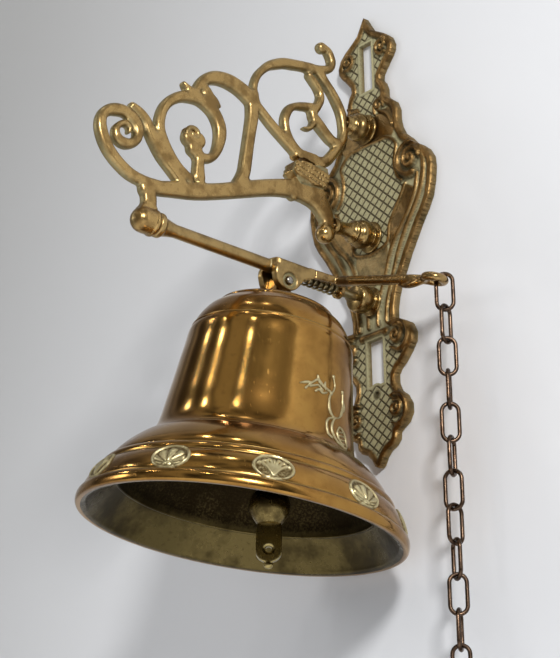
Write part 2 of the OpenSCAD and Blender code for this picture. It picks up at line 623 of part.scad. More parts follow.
// Outline of the bell's outside from the crown down, as [radius, depth]: the crown's
// points follow the shoulder, the waist's run from shoulder to foot, and the flare's from
// the foot to the mouth. Depths are parts of the height.
crown_line = [[0.21, 0], [0.41, 0.013], [0.57, 0.03], [0.66, 0.04], [0.72, 0.056],
  [0.76, 0.07], [0.85, 0.096], [0.91, 0.122], [0.98, 0.155], [1, 0.178]];
waist_line = [[0.23, 0.267], [0.35, 0.33], [0.59, 0.47], [0.77, 0.568], [0.9, 0.615],
  [1, 0.63]];
flare_line = [[0.03, 0.645], [0.06, 0.652], [0.07, 0.664], [0.14, 0.69], [0.23, 0.715],
  [0.3, 0.735], [0.44, 0.77], [0.68, 0.83], [0.78, 0.86], [0.87, 0.9], [0.95, 0.955],
  [1, 0.99], [1, 1], [0.99, 1]];
outer_line = concat(
  [for (p = crown_line) [p[0] * shoulder_r, p[1] * bell_h]],
  [for (p = waist_line) [shoulder_r + p[0] * (waist_r - shoulder_r), p[1] * bell_h]],
  [for (p = flare_line) [waist_r + p[0] * (mouth_r - waist_r), p[1] * bell_h]]);
// Inside of the flare from the lip up, as parts of the way from the waist out to the lip
inner_flare = [[1, 0.985], [0.823, 0.93], [0.598, 0.87], [0.528, 0.85], [0.449, 0.8]];
inner_line = concat(
  [for (p = inner_flare) [waist_r + p[0] * (mouth_r - lip_t - waist_r), p[1] * bell_h]],
  [[waist_r + 0.14 * (mouth_r - waist_r) - wall_t, 0.7 * bell_h],
   [waist_r - wall_t, 0.64 * bell_h],
   [shoulder_r + 0.59 * (waist_r - shoulder_r) - wall_t, 0.47 * bell_h],
   [shoulder_r - wall_t, 0.19 * bell_h], [shoulder_r * 0.87 - wall_t, 0.135 * bell_h]],
  [[shoulder_r * 0.66 - wall_t, 0.05 * bell_h + crown_t], [shoulder_r * 0.5, crown_t]]);
crown_z = -crown_drop;
shank_d = 8;
module bell_shell() {
  color(brass) on_bell() translate([0, 0, crown_z]) difference() {
    rotate_extrude() polygon(concat([[0, 0]], [for (p = outer_line) [p[0], -p[1]]],
      [for (p = inner_line) [p[0], -p[1]]], [[0, -crown_t]]));
    translate([0, 0, -2 * crown_t]) cylinder(d = shank_d + 2 * seat_gap, h = 3 * crown_t);
  }
}
// Lug on the crown, with the shank that goes through it
lug_r = 4.6;
lug_t = fork_gap - 2 * free_gap;
lug_foot_r = 8;
lug_foot_t = 1.8;
washer_t = 1.5;
nut_t = 5;
nut_low = crown_z - crown_t - washer_t - nut_t;
clapper_z = nut_low - 5.2;
clapper_pin_d = 3;
shank_flat = 6;
module crown_lug() {
  color(brass) on_bell() difference() {
    union() {
      rod_x(2 * lug_r, -lug_t / 2, lug_t / 2);
      translate([-lug_t / 2, -lug_r, crown_z]) cube([lug_t, 2 * lug_r, -crown_z]);
      translate([0, 0, crown_z]) cylinder(r = lug_foot_r, h = lug_foot_t);
      translate([0, 0, clapper_z]) cylinder(d = shank_d, h = crown_z - clapper_z + 0.5);
      intersection() {
        translate([0, 0, clapper_z - shank_d / 2]) cylinder(d = shank_d, h = shank_d);
        translate([0, 0, clapper_z]) rod_y(shank_d, -shank_d, shank_d);
      }
    }
    rod_x(pin_d + 2 * running_gap, -lug_t, lug_t);
    translate([0, 0, clapper_z])
      rod_y(clapper_pin_d + 2 * seat_gap, -shank_d, shank_d);
    for (side = [0, 1]) mirror([0, side, 0])
      translate([-shank_d, shank_flat / 2, clapper_z - shank_d])
        cube([2 * shank_d, shank_d, shank_d + 4.6]);
  }
}
module crown_washer() {
  color(brass) on_bell() translate([0, 0, nut_low + nut_t]) difference() {
    cylinder(r = 9.5, h = washer_t);
    translate([0, 0, -1]) cylinder(d = shank_d + 2 * seat_gap, h = washer_t + 2);
  }
}
module crown_nut() {
  color(dark_iron) on_bell() translate([0, 0, nut_low]) difference() {
    cylinder(r = 7.5, h = nut_t, $fn = 6);
    translate([0, 0, -1]) cylinder(d = shank_d + 2 * seat_gap, h = nut_t + 2);
  }
}

// Clapper

fork_in = shank_flat / 2 + free_gap;
fork_cheek = 2.4;
tongue_t = 3.6;
tongue_hole_d = 2.8;
// Lean of the clapper's stem out from the wall
stem_lean = 2.6;
module on_clapper() {
  on_bell() translate([0, 0, clapper_z]) children();
}
module clapper_pin() {
  color(dark_iron) on_clapper()
    rod_y(clapper_pin_d, -fork_in - fork_cheek - 0.8, fork_in + fork_cheek + 0.8);
}
// The stem hangs straight down from its fork, whatever way the bell leans
module on_stem() {
  on_clapper() rotate([bell_tilt, 0, 0]) plumb() rotate([-stem_lean, 0, 0]) children();
}
module clapper_rod() {
  color(old_brass) difference() {
    union() {
      on_clapper() rotate([0, -rest_swing, 0]) difference() {
        union() {
          rod_y(8, -fork_in - fork_cheek, fork_in + fork_cheek);
          translate([-3, -fork_in - fork_cheek, -9])
            cube([6, 2 * (fork_in + fork_cheek), 9]);
        }
        translate([-5, -fork_in, -5.6]) cube([10, 2 * fork_in, 11]);
      }
      on_stem() {
        translate([0, 0, -clapper_len - 6]) cylinder(d = stem_d, h = clapper_len - 1);
        translate([0, 0, -clapper_len]) rotate([0, 0, -tongue_yaw]) {
          translate([-tongue_t / 2, -tongue_w / 2, -tongue_len])
            cube([tongue_t, tongue_w, tongue_len - 4]);
          translate([0, 0, -tongue_len]) {
            rod_x(tongue_w, -tongue_t / 2, tongue_t / 2);
            translate([0, 0, -tongue_w / 2 - 1]) sphere(r = 2, $fn = 32);
          }
        }
      }
    }
    on_clapper() rod_y(clapper_pin_d + 2 * running_gap, -2 * fork_in - 8, 2 * fork_in + 8);
    on_stem() translate([0, 0, -clapper_len - tongue_len + 1]) rotate([0, 0, -tongue_yaw]) {
      rod_x(tongue_hole_d, -tongue_t, tongue_t);
      translate([tongue_t / 2 - 0.9, 0, 0]) rotate([0, 90, 0])
        cylinder(d1 = tongue_hole_d, d2 = tongue_hole_d + 2, h = 0.91);
    }
  }
}
module clapper_ball() {
  color(old_brass) difference() {
    on_stem() translate([0, 0, -clapper_len]) sphere(r = ball_r);
    on_stem() {
      translate([0, 0, -clapper_len - 2 * ball_r])
        cylinder(d = stem_d + 2 * seat_gap, h = 4 * ball_r);
      translate([0, 0, -clapper_len]) rotate([0, 0, -tongue_yaw])
        translate([-tongue_t / 2 - seat_gap, -tongue_w / 2 - seat_gap, -2 * ball_r])
          cube([tongue_t + 2 * seat_gap, tongue_w + 2 * seat_gap, 2 * ball_r - 4 + seat_gap]);
    }
  }
}

// Chain

// Turn of each link's plane from the wall's X, in degrees
link_yaw = [42, 105, 50, 129, 50, 118, 30, 85, -22, 50, 125, 40, 125, 40];
link_gap = 0.15;
bend_r = (link_w - wire_d) / 2;
straight = link_len - link_w;
link_pitch = link_len - 2 * wire_d - link_gap;
// Frame at the arm's eye wire where the first link hangs, with the wall's directions
module at_first_link() {
  on_rocker() translate(elbow) rotate([0, 0, arm_yaw]) rotate([0, arm_droop, 0])
    translate([arm_len, 0, 0]) rotate([0, 0, link_yaw[0] - arm_yaw])
      translate([arm_eye_r, 0, 0]) rotate([0, 0, arm_yaw - link_yaw[0]])
        rotate([0, -arm_droop, 0]) rotate([0, 0, -arm_yaw]) plumb() children();
}
first_drop = link_len / 2 - wire_d / 2 - (arm_eye_wire + wire_d) / 2 - link_gap;
module link() {
  for (end = [0, 1]) mirror([0, 0, end]) translate([0, 0, straight / 2])
    rotate([90, 0, 0]) rotate_extrude(angle = 180) translate([bend_r, 0]) circle(d = wire_d);
  for (side = [-1, 1]) translate([side * bend_r, 0, -straight / 2])
    cylinder(d = wire_d, h = straight);
}
module chain_link(i) {
  color(bronze) at_first_link() translate([0, 0, -first_drop - (i - 1) * link_pitch])
    rotate([0, 0, link_yaw[i - 1]]) link();
}
module pull_ring() {
  color(bronze) at_first_link()
    translate([0, 0, -first_drop - (link_count - 1) * link_pitch - link_len / 2 + wire_d / 2
      + (wire_d + ring_wire_d) / 2 + link_gap - ring_d / 2])
    rotate([0, 0, link_yaw[link_count - 1] + 90]) rotate([90, 0, 0]) rotate_extrude()
      translate([ring_d / 2, 0]) circle(d = ring_wire_d);
}

wall_plate();
scroll_bracket();
upper_standoff();
lower_standoff();
bearing_knob();
upper_fixing_screw();
lower_fixing_screw();
bearing_fixing_screw();
rocker();
axle_journal();
chain_arm();
return_spring();
spring_collar();
bell_pin();
bell_pin_washer();
bell_shell();
crown_lug();
crown_washer();
crown_nut();
clapper_pin();
clapper_rod();
clapper_ball();
for (i = [1:link_count]) chain_link(i);
pull_ring();
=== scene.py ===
import math

import bmesh
import bpy
import numpy as np
from mathutils import Matrix, Vector


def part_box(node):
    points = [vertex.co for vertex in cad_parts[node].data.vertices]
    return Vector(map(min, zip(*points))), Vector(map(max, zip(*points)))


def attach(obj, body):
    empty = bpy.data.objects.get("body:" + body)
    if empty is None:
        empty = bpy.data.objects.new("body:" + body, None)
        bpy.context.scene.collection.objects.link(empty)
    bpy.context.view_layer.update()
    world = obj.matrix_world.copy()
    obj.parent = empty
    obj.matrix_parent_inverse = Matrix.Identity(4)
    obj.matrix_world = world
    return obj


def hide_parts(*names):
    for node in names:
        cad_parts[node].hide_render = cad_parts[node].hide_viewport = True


bl_info = {
    "name": "Wall bell",
    "version": (1, 0, 0),
    "blender": (4, 5, 0),
    "location": "View3D > Sidebar > Wall bell",
    "description": "Builds a wall-mounted brass bell on its scroll bracket, piece by piece",
    "category": "Add Mesh",
}

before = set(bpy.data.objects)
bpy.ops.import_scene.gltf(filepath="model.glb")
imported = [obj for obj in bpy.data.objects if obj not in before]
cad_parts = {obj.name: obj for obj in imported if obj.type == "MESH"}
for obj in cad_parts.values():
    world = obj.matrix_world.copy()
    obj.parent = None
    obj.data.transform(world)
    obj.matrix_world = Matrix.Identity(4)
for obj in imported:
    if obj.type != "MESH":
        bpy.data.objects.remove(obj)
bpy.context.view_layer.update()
MM = 0.001
TURN = 2 * math.pi


def turn(axis, degrees):
    return Matrix.Rotation(math.radians(degrees), 4, axis)


def shift(x, y, z):
    return Matrix.Translation((x, y, z))


# Sizes of the construction that place the moving frames, in millimetres and degrees
REACH = 146.0
AXLE_Z = -29.0
AXLE_SLOPE = 3.7
REST_SWING = 5.3
YOKE_OUT = 63.8
PIN_DROP = 6.8
BELL_TILT = 4.0
CROWN_DROP = 8.7
CROWN_WALL = 3.2
CROWN_WASHER = 1.5
CROWN_NUT = 5.0
NUT_TO_CLAPPER = 5.2
CLAPPER_LEN = 90.0
STEM_LEAN = 2.6
ELBOW = (7.2, 30.7, 1.8)
ARM_YAW = 10.6
ARM_DROOP = 7.5
ARM_LEN = 60.0
ARM_EYE_R = 4.7
ARM_EYE_WIRE = 4.4
LINK_YAW = (42, 105, 50, 129, 50, 118, 30, 85, -22, 50, 125, 40, 125, 40)

# Frames of the moving bodies
ON_AXLE = shift(0, -REACH, AXLE_Z) @ turn("X", -AXLE_SLOPE)
ROCKER_Y = (REACH - YOKE_OUT) / math.cos(math.radians(AXLE_SLOPE))
ON_ROCKER = ON_AXLE @ shift(0, ROCKER_Y, 0) @ turn("Y", REST_SWING)
ON_BELL = ON_ROCKER @ shift(0, 0, -PIN_DROP) @ turn("X", -BELL_TILT)
PLUMB = turn("Y", -REST_SWING) @ turn("X", AXLE_SLOPE)
CLAPPER_Z = -CROWN_DROP - CROWN_WALL - CROWN_WASHER - CROWN_NUT - NUT_TO_CLAPPER
ON_STEM = (ON_BELL @ shift(0, 0, CLAPPER_Z) @ turn("X", BELL_TILT) @ PLUMB
           @ turn("X", -STEM_LEAN))
ON_ARM = ON_ROCKER @ shift(*ELBOW) @ turn("Z", ARM_YAW) @ turn("Y", ARM_DROOP)
FIRST_LINK = (ON_ARM @ shift(ARM_LEN, 0, 0) @ turn("Z", LINK_YAW[0] - ARM_YAW)
              @ shift(ARM_EYE_R, 0, 0)).translation
# A body turned about an axis that stands out from the wall
OUT_FROM_WALL = turn("X", 90)


def colour(r, g, b):
    """A colour written in display values from 0 to 255, as scene values."""
    def one(v):
        v /= 255
        return v / 12.92 if v <= 0.04045 else ((v + 0.055) / 1.055) ** 2.4
    return (one(r), one(g), one(b), 1.0)


class BellSizes(bpy.types.PropertyGroup):
    """Sizes that a user may change."""
    relief_rise: bpy.props.FloatProperty(
        name="Relief rise", description="Height of the plate's ridges over its sunk fields",
        default=0.0020, min=0.001, max=0.003, unit="LENGTH", subtype="DISTANCE")
    lattice_pitch: bpy.props.FloatProperty(
        name="Lattice pitch", description="Distance between the incised lines of the plate",
        default=0.00435, min=0.003, max=0.006, unit="LENGTH", subtype="DISTANCE")
    relief_cell: bpy.props.FloatProperty(
        name="Relief cell", description="Width of one cell of the plate's relief",
        default=0.0005, min=0.0004, max=0.001, unit="LENGTH", subtype="DISTANCE")
    casting_round: bpy.props.FloatProperty(
        name="Casting rounding", description="Radius to which the bracket's bars are rounded",
        default=0.0021, min=0.001, max=0.0028, unit="LENGTH", subtype="DISTANCE")
    medallion_rise: bpy.props.FloatProperty(
        name="Medallion rise", description="Height of the bell's cast ornament",
        default=0.0009, min=0.0003, max=0.0015, unit="LENGTH", subtype="DISTANCE")
    medallions: bpy.props.IntProperty(
        name="Medallions", description="Number of medallions round the bell", default=10,
        min=6, max=12)


class BellColours(bpy.types.PropertyGroup):
    """Colours of the brass, its tarnish and its patina."""
    gold: bpy.props.FloatVectorProperty(
        name="Polished brass", description="Brass where it is rubbed bright", size=4,
        default=colour(166, 126, 65), min=0, max=1, subtype="COLOR")
    tan: bpy.props.FloatVectorProperty(
        name="Dull brass", description="Cast brass of the bracket and the rocker", size=4,
        default=colour(172, 142, 90), min=0, max=1, subtype="COLOR")
    brown: bpy.props.FloatVectorProperty(
        name="Tarnish", description="Brown tarnish on the ridges and in the hollows", size=4,
        default=colour(142, 112, 68), min=0, max=1, subtype="COLOR")
    patina: bpy.props.FloatVectorProperty(
        name="Patina", description="Pale grey-green patina of the sunk fields", size=4,
        default=colour(170, 164, 126), min=0, max=1, subtype="COLOR")
    # Also the colour of the plate's painted shade and grime in its creases, round its slots and in
    # its screw hole
    incised: bpy.props.FloatVectorProperty(
        name="Incised lines", description="Dirt in the plate's incised lines", size=4,
        default=colour(74, 64, 38), min=0, max=1, subtype="COLOR")
    inside: bpy.props.FloatVectorProperty(
        name="Inside of the bell", description="Unpolished olive brass inside the bell", size=4,
        default=colour(92, 80, 48), min=0, max=1, subtype="COLOR")
    chain: bpy.props.FloatVectorProperty(
        name="Chain", description="Browned wire of the chain", size=4,
        default=colour(88, 70, 56), min=0, max=1, subtype="COLOR")
    steel: bpy.props.FloatVectorProperty(
        name="Steel", description="Steel of the screws, the pins and the nut", size=4,
        default=colour(150, 146, 138), min=0, max=1, subtype="COLOR")


def sizes():
    return bpy.context.scene.bell_sizes


def colours():
    return bpy.context.scene.bell_colours


# Node helpers
def add(tree, kind, **values):
    node = tree.nodes.new(kind)
    for key, value in values.items():
        setattr(node, key, value)
    return node


def put(tree, value, socket):
    if isinstance(value, bpy.types.NodeSocket):
        tree.links.new(value, socket)
    else:
        socket.default_value = value


def maths(tree, operation, a, b=None, clamp=False):
    node = add(tree, "ShaderNodeMath", operation=operation, use_clamp=clamp)
    put(tree, a, node.inputs[0])
    if b is not None:
        put(tree, b, node.inputs[1])
    return node.outputs[0]


def blend(tree, amount, a, b):
    """Two colours mixed, on the Mix node's colour sockets."""
    node = add(tree, "ShaderNodeMix", data_type="RGBA")
    put(tree, amount, node.inputs[0])
    put(tree, a, node.inputs[6])
    put(tree, b, node.inputs[7])
    return node.outputs[2]


def span(tree, value, low, high, to_low=0.0, to_high=1.0):
    node = add(tree, "ShaderNodeMapRange", interpolation_type="SMOOTHSTEP")
    put(tree, value, node.inputs[0])
    for k, v in zip((1, 2, 3, 4), (low, high, to_low, to_high)):
        put(tree, v, node.inputs[k])
    return node.outputs[0]


def noise(tree, at, scale, detail, roughness):
    node = add(tree, "ShaderNodeTexNoise")
    put(tree, at, node.inputs["Vector"])
    put(tree, scale, node.inputs["Scale"])
    put(tree, detail, node.inputs["Detail"])
    put(tree, roughness, node.inputs["Roughness"])
    return node.outputs["Fac"]


def group(name, inputs, outputs):
    tree = bpy.data.node_groups.new(name, "ShaderNodeTree")
    for label, kind, value in inputs:
        socket = tree.interface.new_socket(label, in_out="INPUT", socket_type=kind)
        socket.default_value = value
    for label, kind in outputs:
        tree.interface.new_socket(label, in_out="OUTPUT", socket_type=kind)
    return tree, add(tree, "NodeGroupInput").outputs, add(tree, "NodeGroupOutput").inputs


def painted(tree, name):
    """A value that the mesh holds for each of its vertices."""
    return add(tree, "ShaderNodeAttribute", attribute_name=name).outputs["Fac"]


def seen_directly(tree):
    """One for the rays that show a surface itself, in the picture or in metal and glass."""
    path = add(tree, "ShaderNodeLightPath").outputs
    return maths(tree, "MAXIMUM", path["Is Camera Ray"], maths(
        tree, "MAXIMUM", path["Is Glossy Ray"], path["Is Transmission Ray"]))


def blank_material(name):
    m = bpy.data.materials.new(name)
    m.use_nodes = True
    m.node_tree.nodes.clear()
    return m, m.node_tree


F = "NodeSocketFloat"
C = "NodeSocketColor"


def aged_metal_group():
    """Metal with cloudy tarnish, a grainy patina in its hollows and fine scratches."""
    if "aged_metal" in bpy.data.node_groups:
        return bpy.data.node_groups["aged_metal"]
    t, i, o = group("aged_metal", [
        ("Bright", C, (1, 1, 1, 1)), ("Tarnish", C, (0, 0, 0, 1)),
        ("Patina", C, (0.5, 0.5, 0.5, 1)), ("Hollow", F, 0.0), ("Clouding", F, 0.5),
        ("Cloud scale", F, 60.0), ("Gloss", F, 0.2), ("Grain", F, 0.2)],
        [("Color", C), ("Roughness", F), ("Height", F)])
    at = add(t, "ShaderNodeTexCoord").outputs["Object"]
    clouds = noise(t, at, i["Cloud scale"], 4.0, 0.6)
    cloudy = maths(t, "MULTIPLY", span(t, clouds, 0.42, 0.66), i["Clouding"])
    fine = noise(t, at, 900.0, 3.0, 0.65)
    specks = span(t, noise(t, at, 420.0, 2.0, 0.5), 0.60, 0.72)
    stretched = add(t, "ShaderNodeMapping")
    stretched.inputs["Rotation"].default_value = (0.5, 0.9, 0.35)
    stretched.inputs["Scale"].default_value = (60.0, 1400.0, 240.0)
    put(t, at, stretched.inputs["Vector"])
    scratch = span(t, noise(t, stretched.outputs[0], 1.0, 2.0, 0.5), 0.66, 0.72)
    base = blend(t, cloudy, i["Bright"], i["Tarnish"])
    dotted = maths(t, "MULTIPLY", specks, i["Clouding"])
    base = blend(t, maths(t, "MULTIPLY", dotted, 0.45), base, i["Tarnish"])
    grainy = maths(t, "MULTIPLY", maths(t, "SUBTRACT", fine, 0.5),
                   maths(t, "MULTIPLY", i["Hollow"], 2.4))
    grainy = maths(t, "ADD", i["Hollow"], grainy, clamp=True)
    put(t, blend(t, grainy, base, i["Patina"]), o["Color"])
    rough = maths(t, "ADD", i["Gloss"], maths(t, "MULTIPLY", cloudy, 0.14))
    rough = maths(t, "ADD", rough, maths(t, "MULTIPLY", i["Hollow"], 0.34))
    rough = maths(t, "ADD", rough, maths(t, "MULTIPLY", scratch, 0.10), clamp=True)
    put(t, rough, o["Roughness"])
    grain = maths(t, "MULTIPLY", fine, i["Grain"])
    height = maths(t, "SUBTRACT", grain, maths(t, "MULTIPLY", scratch, 0.12))
    put(t, height, o["Height"])
    return t


def lattice_group():
    """Two families of incised lines that cross in lozenges, with pitch and width in metres."""
    if "incised_lattice" in bpy.data.node_groups:
        return bpy.data.node_groups["incised_lattice"]
    t, i, o = group("incised_lattice", [("Pitch", F, 0.00435), ("Width", F, 0.0005)],
                    [("Line", F)])
    at = add(t, "ShaderNodeSeparateXYZ")
    put(t, add(t, "ShaderNodeTexCoord").outputs["Object"], at.inputs[0])
    lines = []
    for normal, weight in ((48.0, 1.0), (132.0, 0.9)):
        c, s = math.cos(math.radians(normal)), math.sin(math.radians(normal))
        along = maths(t, "ADD", maths(t, "MULTIPLY", at.outputs["X"], c),
                      maths(t, "MULTIPLY", at.outputs["Z"], s))
        part = maths(t, "FRACT", maths(t, "DIVIDE", along, i["Pitch"]))
        away = maths(t, "MULTIPLY", maths(t, "SUBTRACT", 0.5, maths(
            t, "ABSOLUTE", maths(t, "SUBTRACT", part, 0.5))), i["Pitch"])
        widths = maths(t, "DIVIDE", away, i["Width"])
        lines.append(maths(t, "MULTIPLY", span(t, widths, 0.35, 1.0, 1.0, 0.0), weight))
    put(t, maths(t, "MAXIMUM", *lines), o["Line"])
    return t


# Finishes: bright, tarnish and patina, each a colour or the name of one of the scene's colours;
# whether the patina lies in painted hollows; clouding, cloud scale, gloss, grain and bump
FINISHES = {
    "plate_brass_aged": ("brown", (88, 66, 36), "patina", True, 0.9, 150.0, 0.33, 0.7, 0.35),
    "cast_brass_aged": (
        "tan", (98, 72, 38), (150, 144, 110), True, 0.62, 110.0, 0.25, 0.5, 0.30),
    "knob_brass": (
        (160, 134, 86), (90, 70, 40), "patina", False, 0.8, 130.0, 0.24, 0.3, 0.15),
    "dark_brass_worn": (
        (162, 134, 88), (84, 62, 36), "patina", False, 0.8, 110.0, 0.22, 0.25, 0.12),
    "bell_brass_polished": (
        "gold", (120, 82, 38), (128, 114, 74), True, 0.6, 34.0, 0.13, 0.12, 0.05),
    # Its patina colour is painted shade, laid deep inside the bell
    "bell_brass_inside": (
        "inside", (46, 38, 21), (36, 28, 15), True, 0.8, 48.0, 0.26, 0.5, 0.20),
    "ornament_brass": (
        (206, 194, 150), "brown", (84, 66, 36), True, 0.3, 200.0, 0.32, 0.3, 0.15),
    "clapper_brass": (
        (126, 110, 68), (58, 46, 26), (110, 102, 70), False, 0.7, 120.0, 0.24, 0.35, 0.15),
    "clapper_tongue_brass": (
        (158, 142, 94), (88, 74, 44), (110, 102, 70), False, 0.5, 160.0, 0.22, 0.35, 0.15),
    "chain_wire_browned": (
        "chain", (44, 34, 28), (130, 114, 90), False, 0.7, 260.0, 0.26, 0.3, 0.15),
    "spring_wire_dull": (
        (158, 146, 112), (96, 84, 56), (120, 112, 96), False, 0.5, 240.0, 0.30, 0.2, 0.10),
    "dull_steel": (
        "steel", (84, 78, 68), (120, 112, 96), False, 0.6, 240.0, 0.24, 0.2, 0.10),
}


def metal(name):
    """A finish of the table: the aged metal group with its own values."""
    if name in bpy.data.materials:
        return bpy.data.materials[name]
    *shades, in_hollows, clouding, cloud_scale, gloss, grain, bump = FINISHES[name]
    bright, tarnish, patina = (
        getattr(colours(), s)[:] if isinstance(s, str) else colour(*s) for s in shades)
    m, t = blank_material(name)
    aged = add(t, "ShaderNodeGroup", node_tree=aged_metal_group())
    for label, value in (("Bright", bright), ("Tarnish", tarnish), ("Patina", patina),
                         ("Clouding", clouding), ("Cloud scale", cloud_scale),
                         ("Gloss", gloss), ("Grain", grain)):
        aged.inputs[label].default_value = value
    if in_hollows:
        put(t, painted(t, "hollow"), aged.inputs["Hollow"])
    shader = add(t, "ShaderNodeBsdfPrincipled")
    shader.inputs["Metallic"].default_value = 1.0
    put(t, aged.outputs["Color"], shader.inputs["Base Color"])
    put(t, aged.outputs["Roughness"], shader.inputs["Roughness"])
    relief = add(t, "ShaderNodeBump")
    relief.inputs["Strength"].default_value = bump
    relief.inputs["Distance"].default_value = 0.0004
    put(t, aged.outputs["Height"], relief.inputs["Height"])
    put(t, relief.outputs["Normal"], shader.inputs["Normal"])
    put(t, shader.outputs[0], add(t, "ShaderNodeOutputMaterial").inputs["Surface"])
    if name == "plate_brass_aged":
        incise(t, shader, aged, relief)
    return m


def incise(t, shader, aged, relief):
    """Cut the lattice into the plate's fields, darken its lines, paint shade and grime into its
    creases and dull its patina.
    """
    incised = colours().incised[:]
    lattice = add(t, "ShaderNodeGroup", node_tree=lattice_group())
    lattice.inputs["Pitch"].default_value = sizes().lattice_pitch
    lattice.inputs["Width"].default_value = 0.00066
    line = maths(t, "MULTIPLY", lattice.outputs["Line"], painted(t, "lattice"))
    dirt = maths(t, "MULTIPLY", painted(t, "dirt"), 0.8)
    # The incised colour, laid on by this mask, is painted shade and grime in the creases
    shaded_and_soiled = blend(t, dirt, aged.outputs["Color"], incised)
    put(t, blend(t, line, shaded_and_soiled, incised), shader.inputs["Base Color"])
    height = maths(t, "SUBTRACT", maths(t, "MULTIPLY", aged.outputs["Height"], 0.5), line)
    put(t, height, relief.inputs["Height"])
    relief.inputs["Strength"].default_value = 0.9
    relief.inputs["Distance"].default_value = 0.0008
    put(t, span(t, painted(t, "hollow"), 0.3, 1.0, 1.0, 0.2), shader.inputs["Metallic"])


# Mesh helpers, all in millimetres until a piece is finished
WELD = 0.0005
CAD_WELD = 0.002


def show(name, data):
    """A new object in the scene."""
    obj = bpy.data.objects.new(name, data)
    bpy.context.scene.collection.objects.link(obj)
    return obj


def as_mesh(name, bm):
    """A mesh that takes the place of a bmesh."""
    mesh = bpy.data.meshes.new(name)
    bm.to_mesh(mesh)
    bm.free()
    return mesh


def from_mesh(mesh):
    """A bmesh that takes the place of a mesh."""
    bm = bmesh.new()
    bm.from_mesh(mesh)
    bpy.data.meshes.remove(mesh)
    return bm


def piece(name, bm, body, finishes, replaces, sharp=38, weld=WELD):
    """Finish a piece and hang it on its body."""
    if weld:
        bmesh.ops.remove_doubles(bm, verts=bm.verts, dist=weld)
    mesh = as_mesh(name, move(bm, Matrix.Scale(MM, 4)))
    for finish in finishes:
        mesh.materials.append(metal(finish))
    mesh.shade_smooth()
    mesh.set_sharp_from_angle(angle=math.radians(sharp))
    obj = show(name, mesh)
    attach(obj, body)
    if replaces:
        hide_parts(*replaces)


def cad_copy(node):
    """A merged copy of a CAD node's mesh, in millimetres."""
    bm = bmesh.new()
    bm.from_mesh(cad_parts[node].data)
    move(bm, Matrix.Scale(1 / MM, 4))
    bmesh.ops.remove_doubles(bm, verts=bm.verts, dist=CAD_WELD)
    return bm


def move(bm, matrix):
    bmesh.ops.transform(bm, matrix=matrix, verts=bm.verts)
    return bm


def places(bm):
    return np.array([v.co[:] for v in bm.verts])


def set_places(bm, co):
    for v, p in zip(bm.verts, co):
        v.co = p


def mark(bm, name, values):
    """Paint a value on each vertex, for the materials."""
    layer = bm.verts.layers.float.new(name)
    for v, value in zip(bm.verts, values):
        v[layer] = float(value)


def smoothed(bm, times, verts=None):
    for _ in range(times):
        bmesh.ops.smooth_vert(bm, verts=verts or bm.verts, factor=0.5, use_axis_x=True,
                              use_axis_y=True, use_axis_z=True)
    return bm


def capped(bm):
    """The same body with its open ends filled."""
    bmesh.ops.holes_fill(bm, edges=[e for e in bm.edges if e.is_boundary])
    bmesh.ops.recalc_face_normals(bm, faces=bm.faces)
    return bm


def joined(*parts):
    """One bmesh out of several."""
    whole = parts[0]
    for part in parts[1:]:
        mesh = as_mesh("joined", part)
        whole.from_mesh(mesh)
        bpy.data.meshes.remove(mesh)
    return whole


def smooth_line(points, steps=4):
    """A smooth line through points of any size."""
    p = np.array(points, float)
    p = np.vstack([2 * p[0] - p[1], p, 2 * p[-1] - p[-2]])
    out = []
    for k in range(1, len(p) - 2):
        a, b, c, d = p[k - 1:k + 3]
        for s in range(steps):
            t = s / steps
            out.append(0.5 * (2 * b + (c - a) * t + (2 * a - 5 * b + 4 * c - d) * t * t
                              + (3 * b - a - 3 * c + d) * t ** 3))
    out.append(p[-2])
    return np.array(out)


def merged(bm):
    """The same body with its seams closed and its faces outwards."""
    bmesh.ops.remove_doubles(bm, verts=bm.verts, dist=WELD)
    bmesh.ops.recalc_face_normals(bm, faces=bm.faces)
    return bm


def lathe(profile, steps, closed=False):
    """A body turned about Z from (radius, height) points."""
    bm = bmesh.new()
    verts = [bm.verts.new((r, 0, h)) for r, h in profile]
    pairs = list(zip(verts, verts[1:])) + ([(verts[-1], verts[0])] if closed else [])
    edges = [bm.edges.new(p) for p in pairs]
    bmesh.ops.spin(bm, geom=verts + edges, cent=(0, 0, 0), axis=(0, 0, 1), angle=TURN,
                   steps=steps, use_merge=True)
    return merged(bm)


def tube(points, radii, sides, cyclic=False):
    """A round bar along a line, made from a bevelled curve."""
    curve = bpy.data.curves.new("bar", "CURVE")
    curve.dimensions = "3D"
    curve.bevel_depth = 1.0
    curve.bevel_resolution = sides
    curve.use_fill_caps = not cyclic
    spline = curve.splines.new("POLY")
    spline.points.add(len(points) - 1)
    spline.use_cyclic_u = cyclic
    if np.isscalar(radii):
        radii = [radii] * len(points)
    for k, (p, r) in enumerate(zip(points, radii)):
        spline.points[k].co = (*p, 1.0)
        spline.points[k].radius = r
    obj = bpy.data.objects.new("bar", curve)
    bm = from_mesh(bpy.data.meshes.new_from_object(obj))
    bpy.data.objects.remove(obj)
    bpy.data.curves.remove(curve)
    return merged(bm)


def remeshed(bm, voxel):
    """The same body with an even skin, as a casting has it."""
    mesh = as_mesh("remeshed", bm)
    obj = show("remeshed", mesh)
    skin = obj.modifiers.new("skin", "REMESH")
    skin.mode = "VOXEL"
    skin.voxel_size = voxel
    even = from_mesh(bpy.data.meshes.new_from_object(
        obj.evaluated_get(bpy.context.evaluated_depsgraph_get())))
    bpy.data.objects.remove(obj)
    bpy.data.meshes.remove(mesh)
    return even


# Plane geometry for the reliefs
def segments(line, closed=False):
    line = np.asarray(line, float)
    if closed:
        return line, np.roll(line, -1, axis=0)
    return line[:-1], line[1:]


def outline(loops):
    """Starts and ends of the segments of several closed loops."""
    pairs = [segments(p, True) for p in loops]
    return np.vstack([a for a, b in pairs]), np.vstack([b for a, b in pairs])


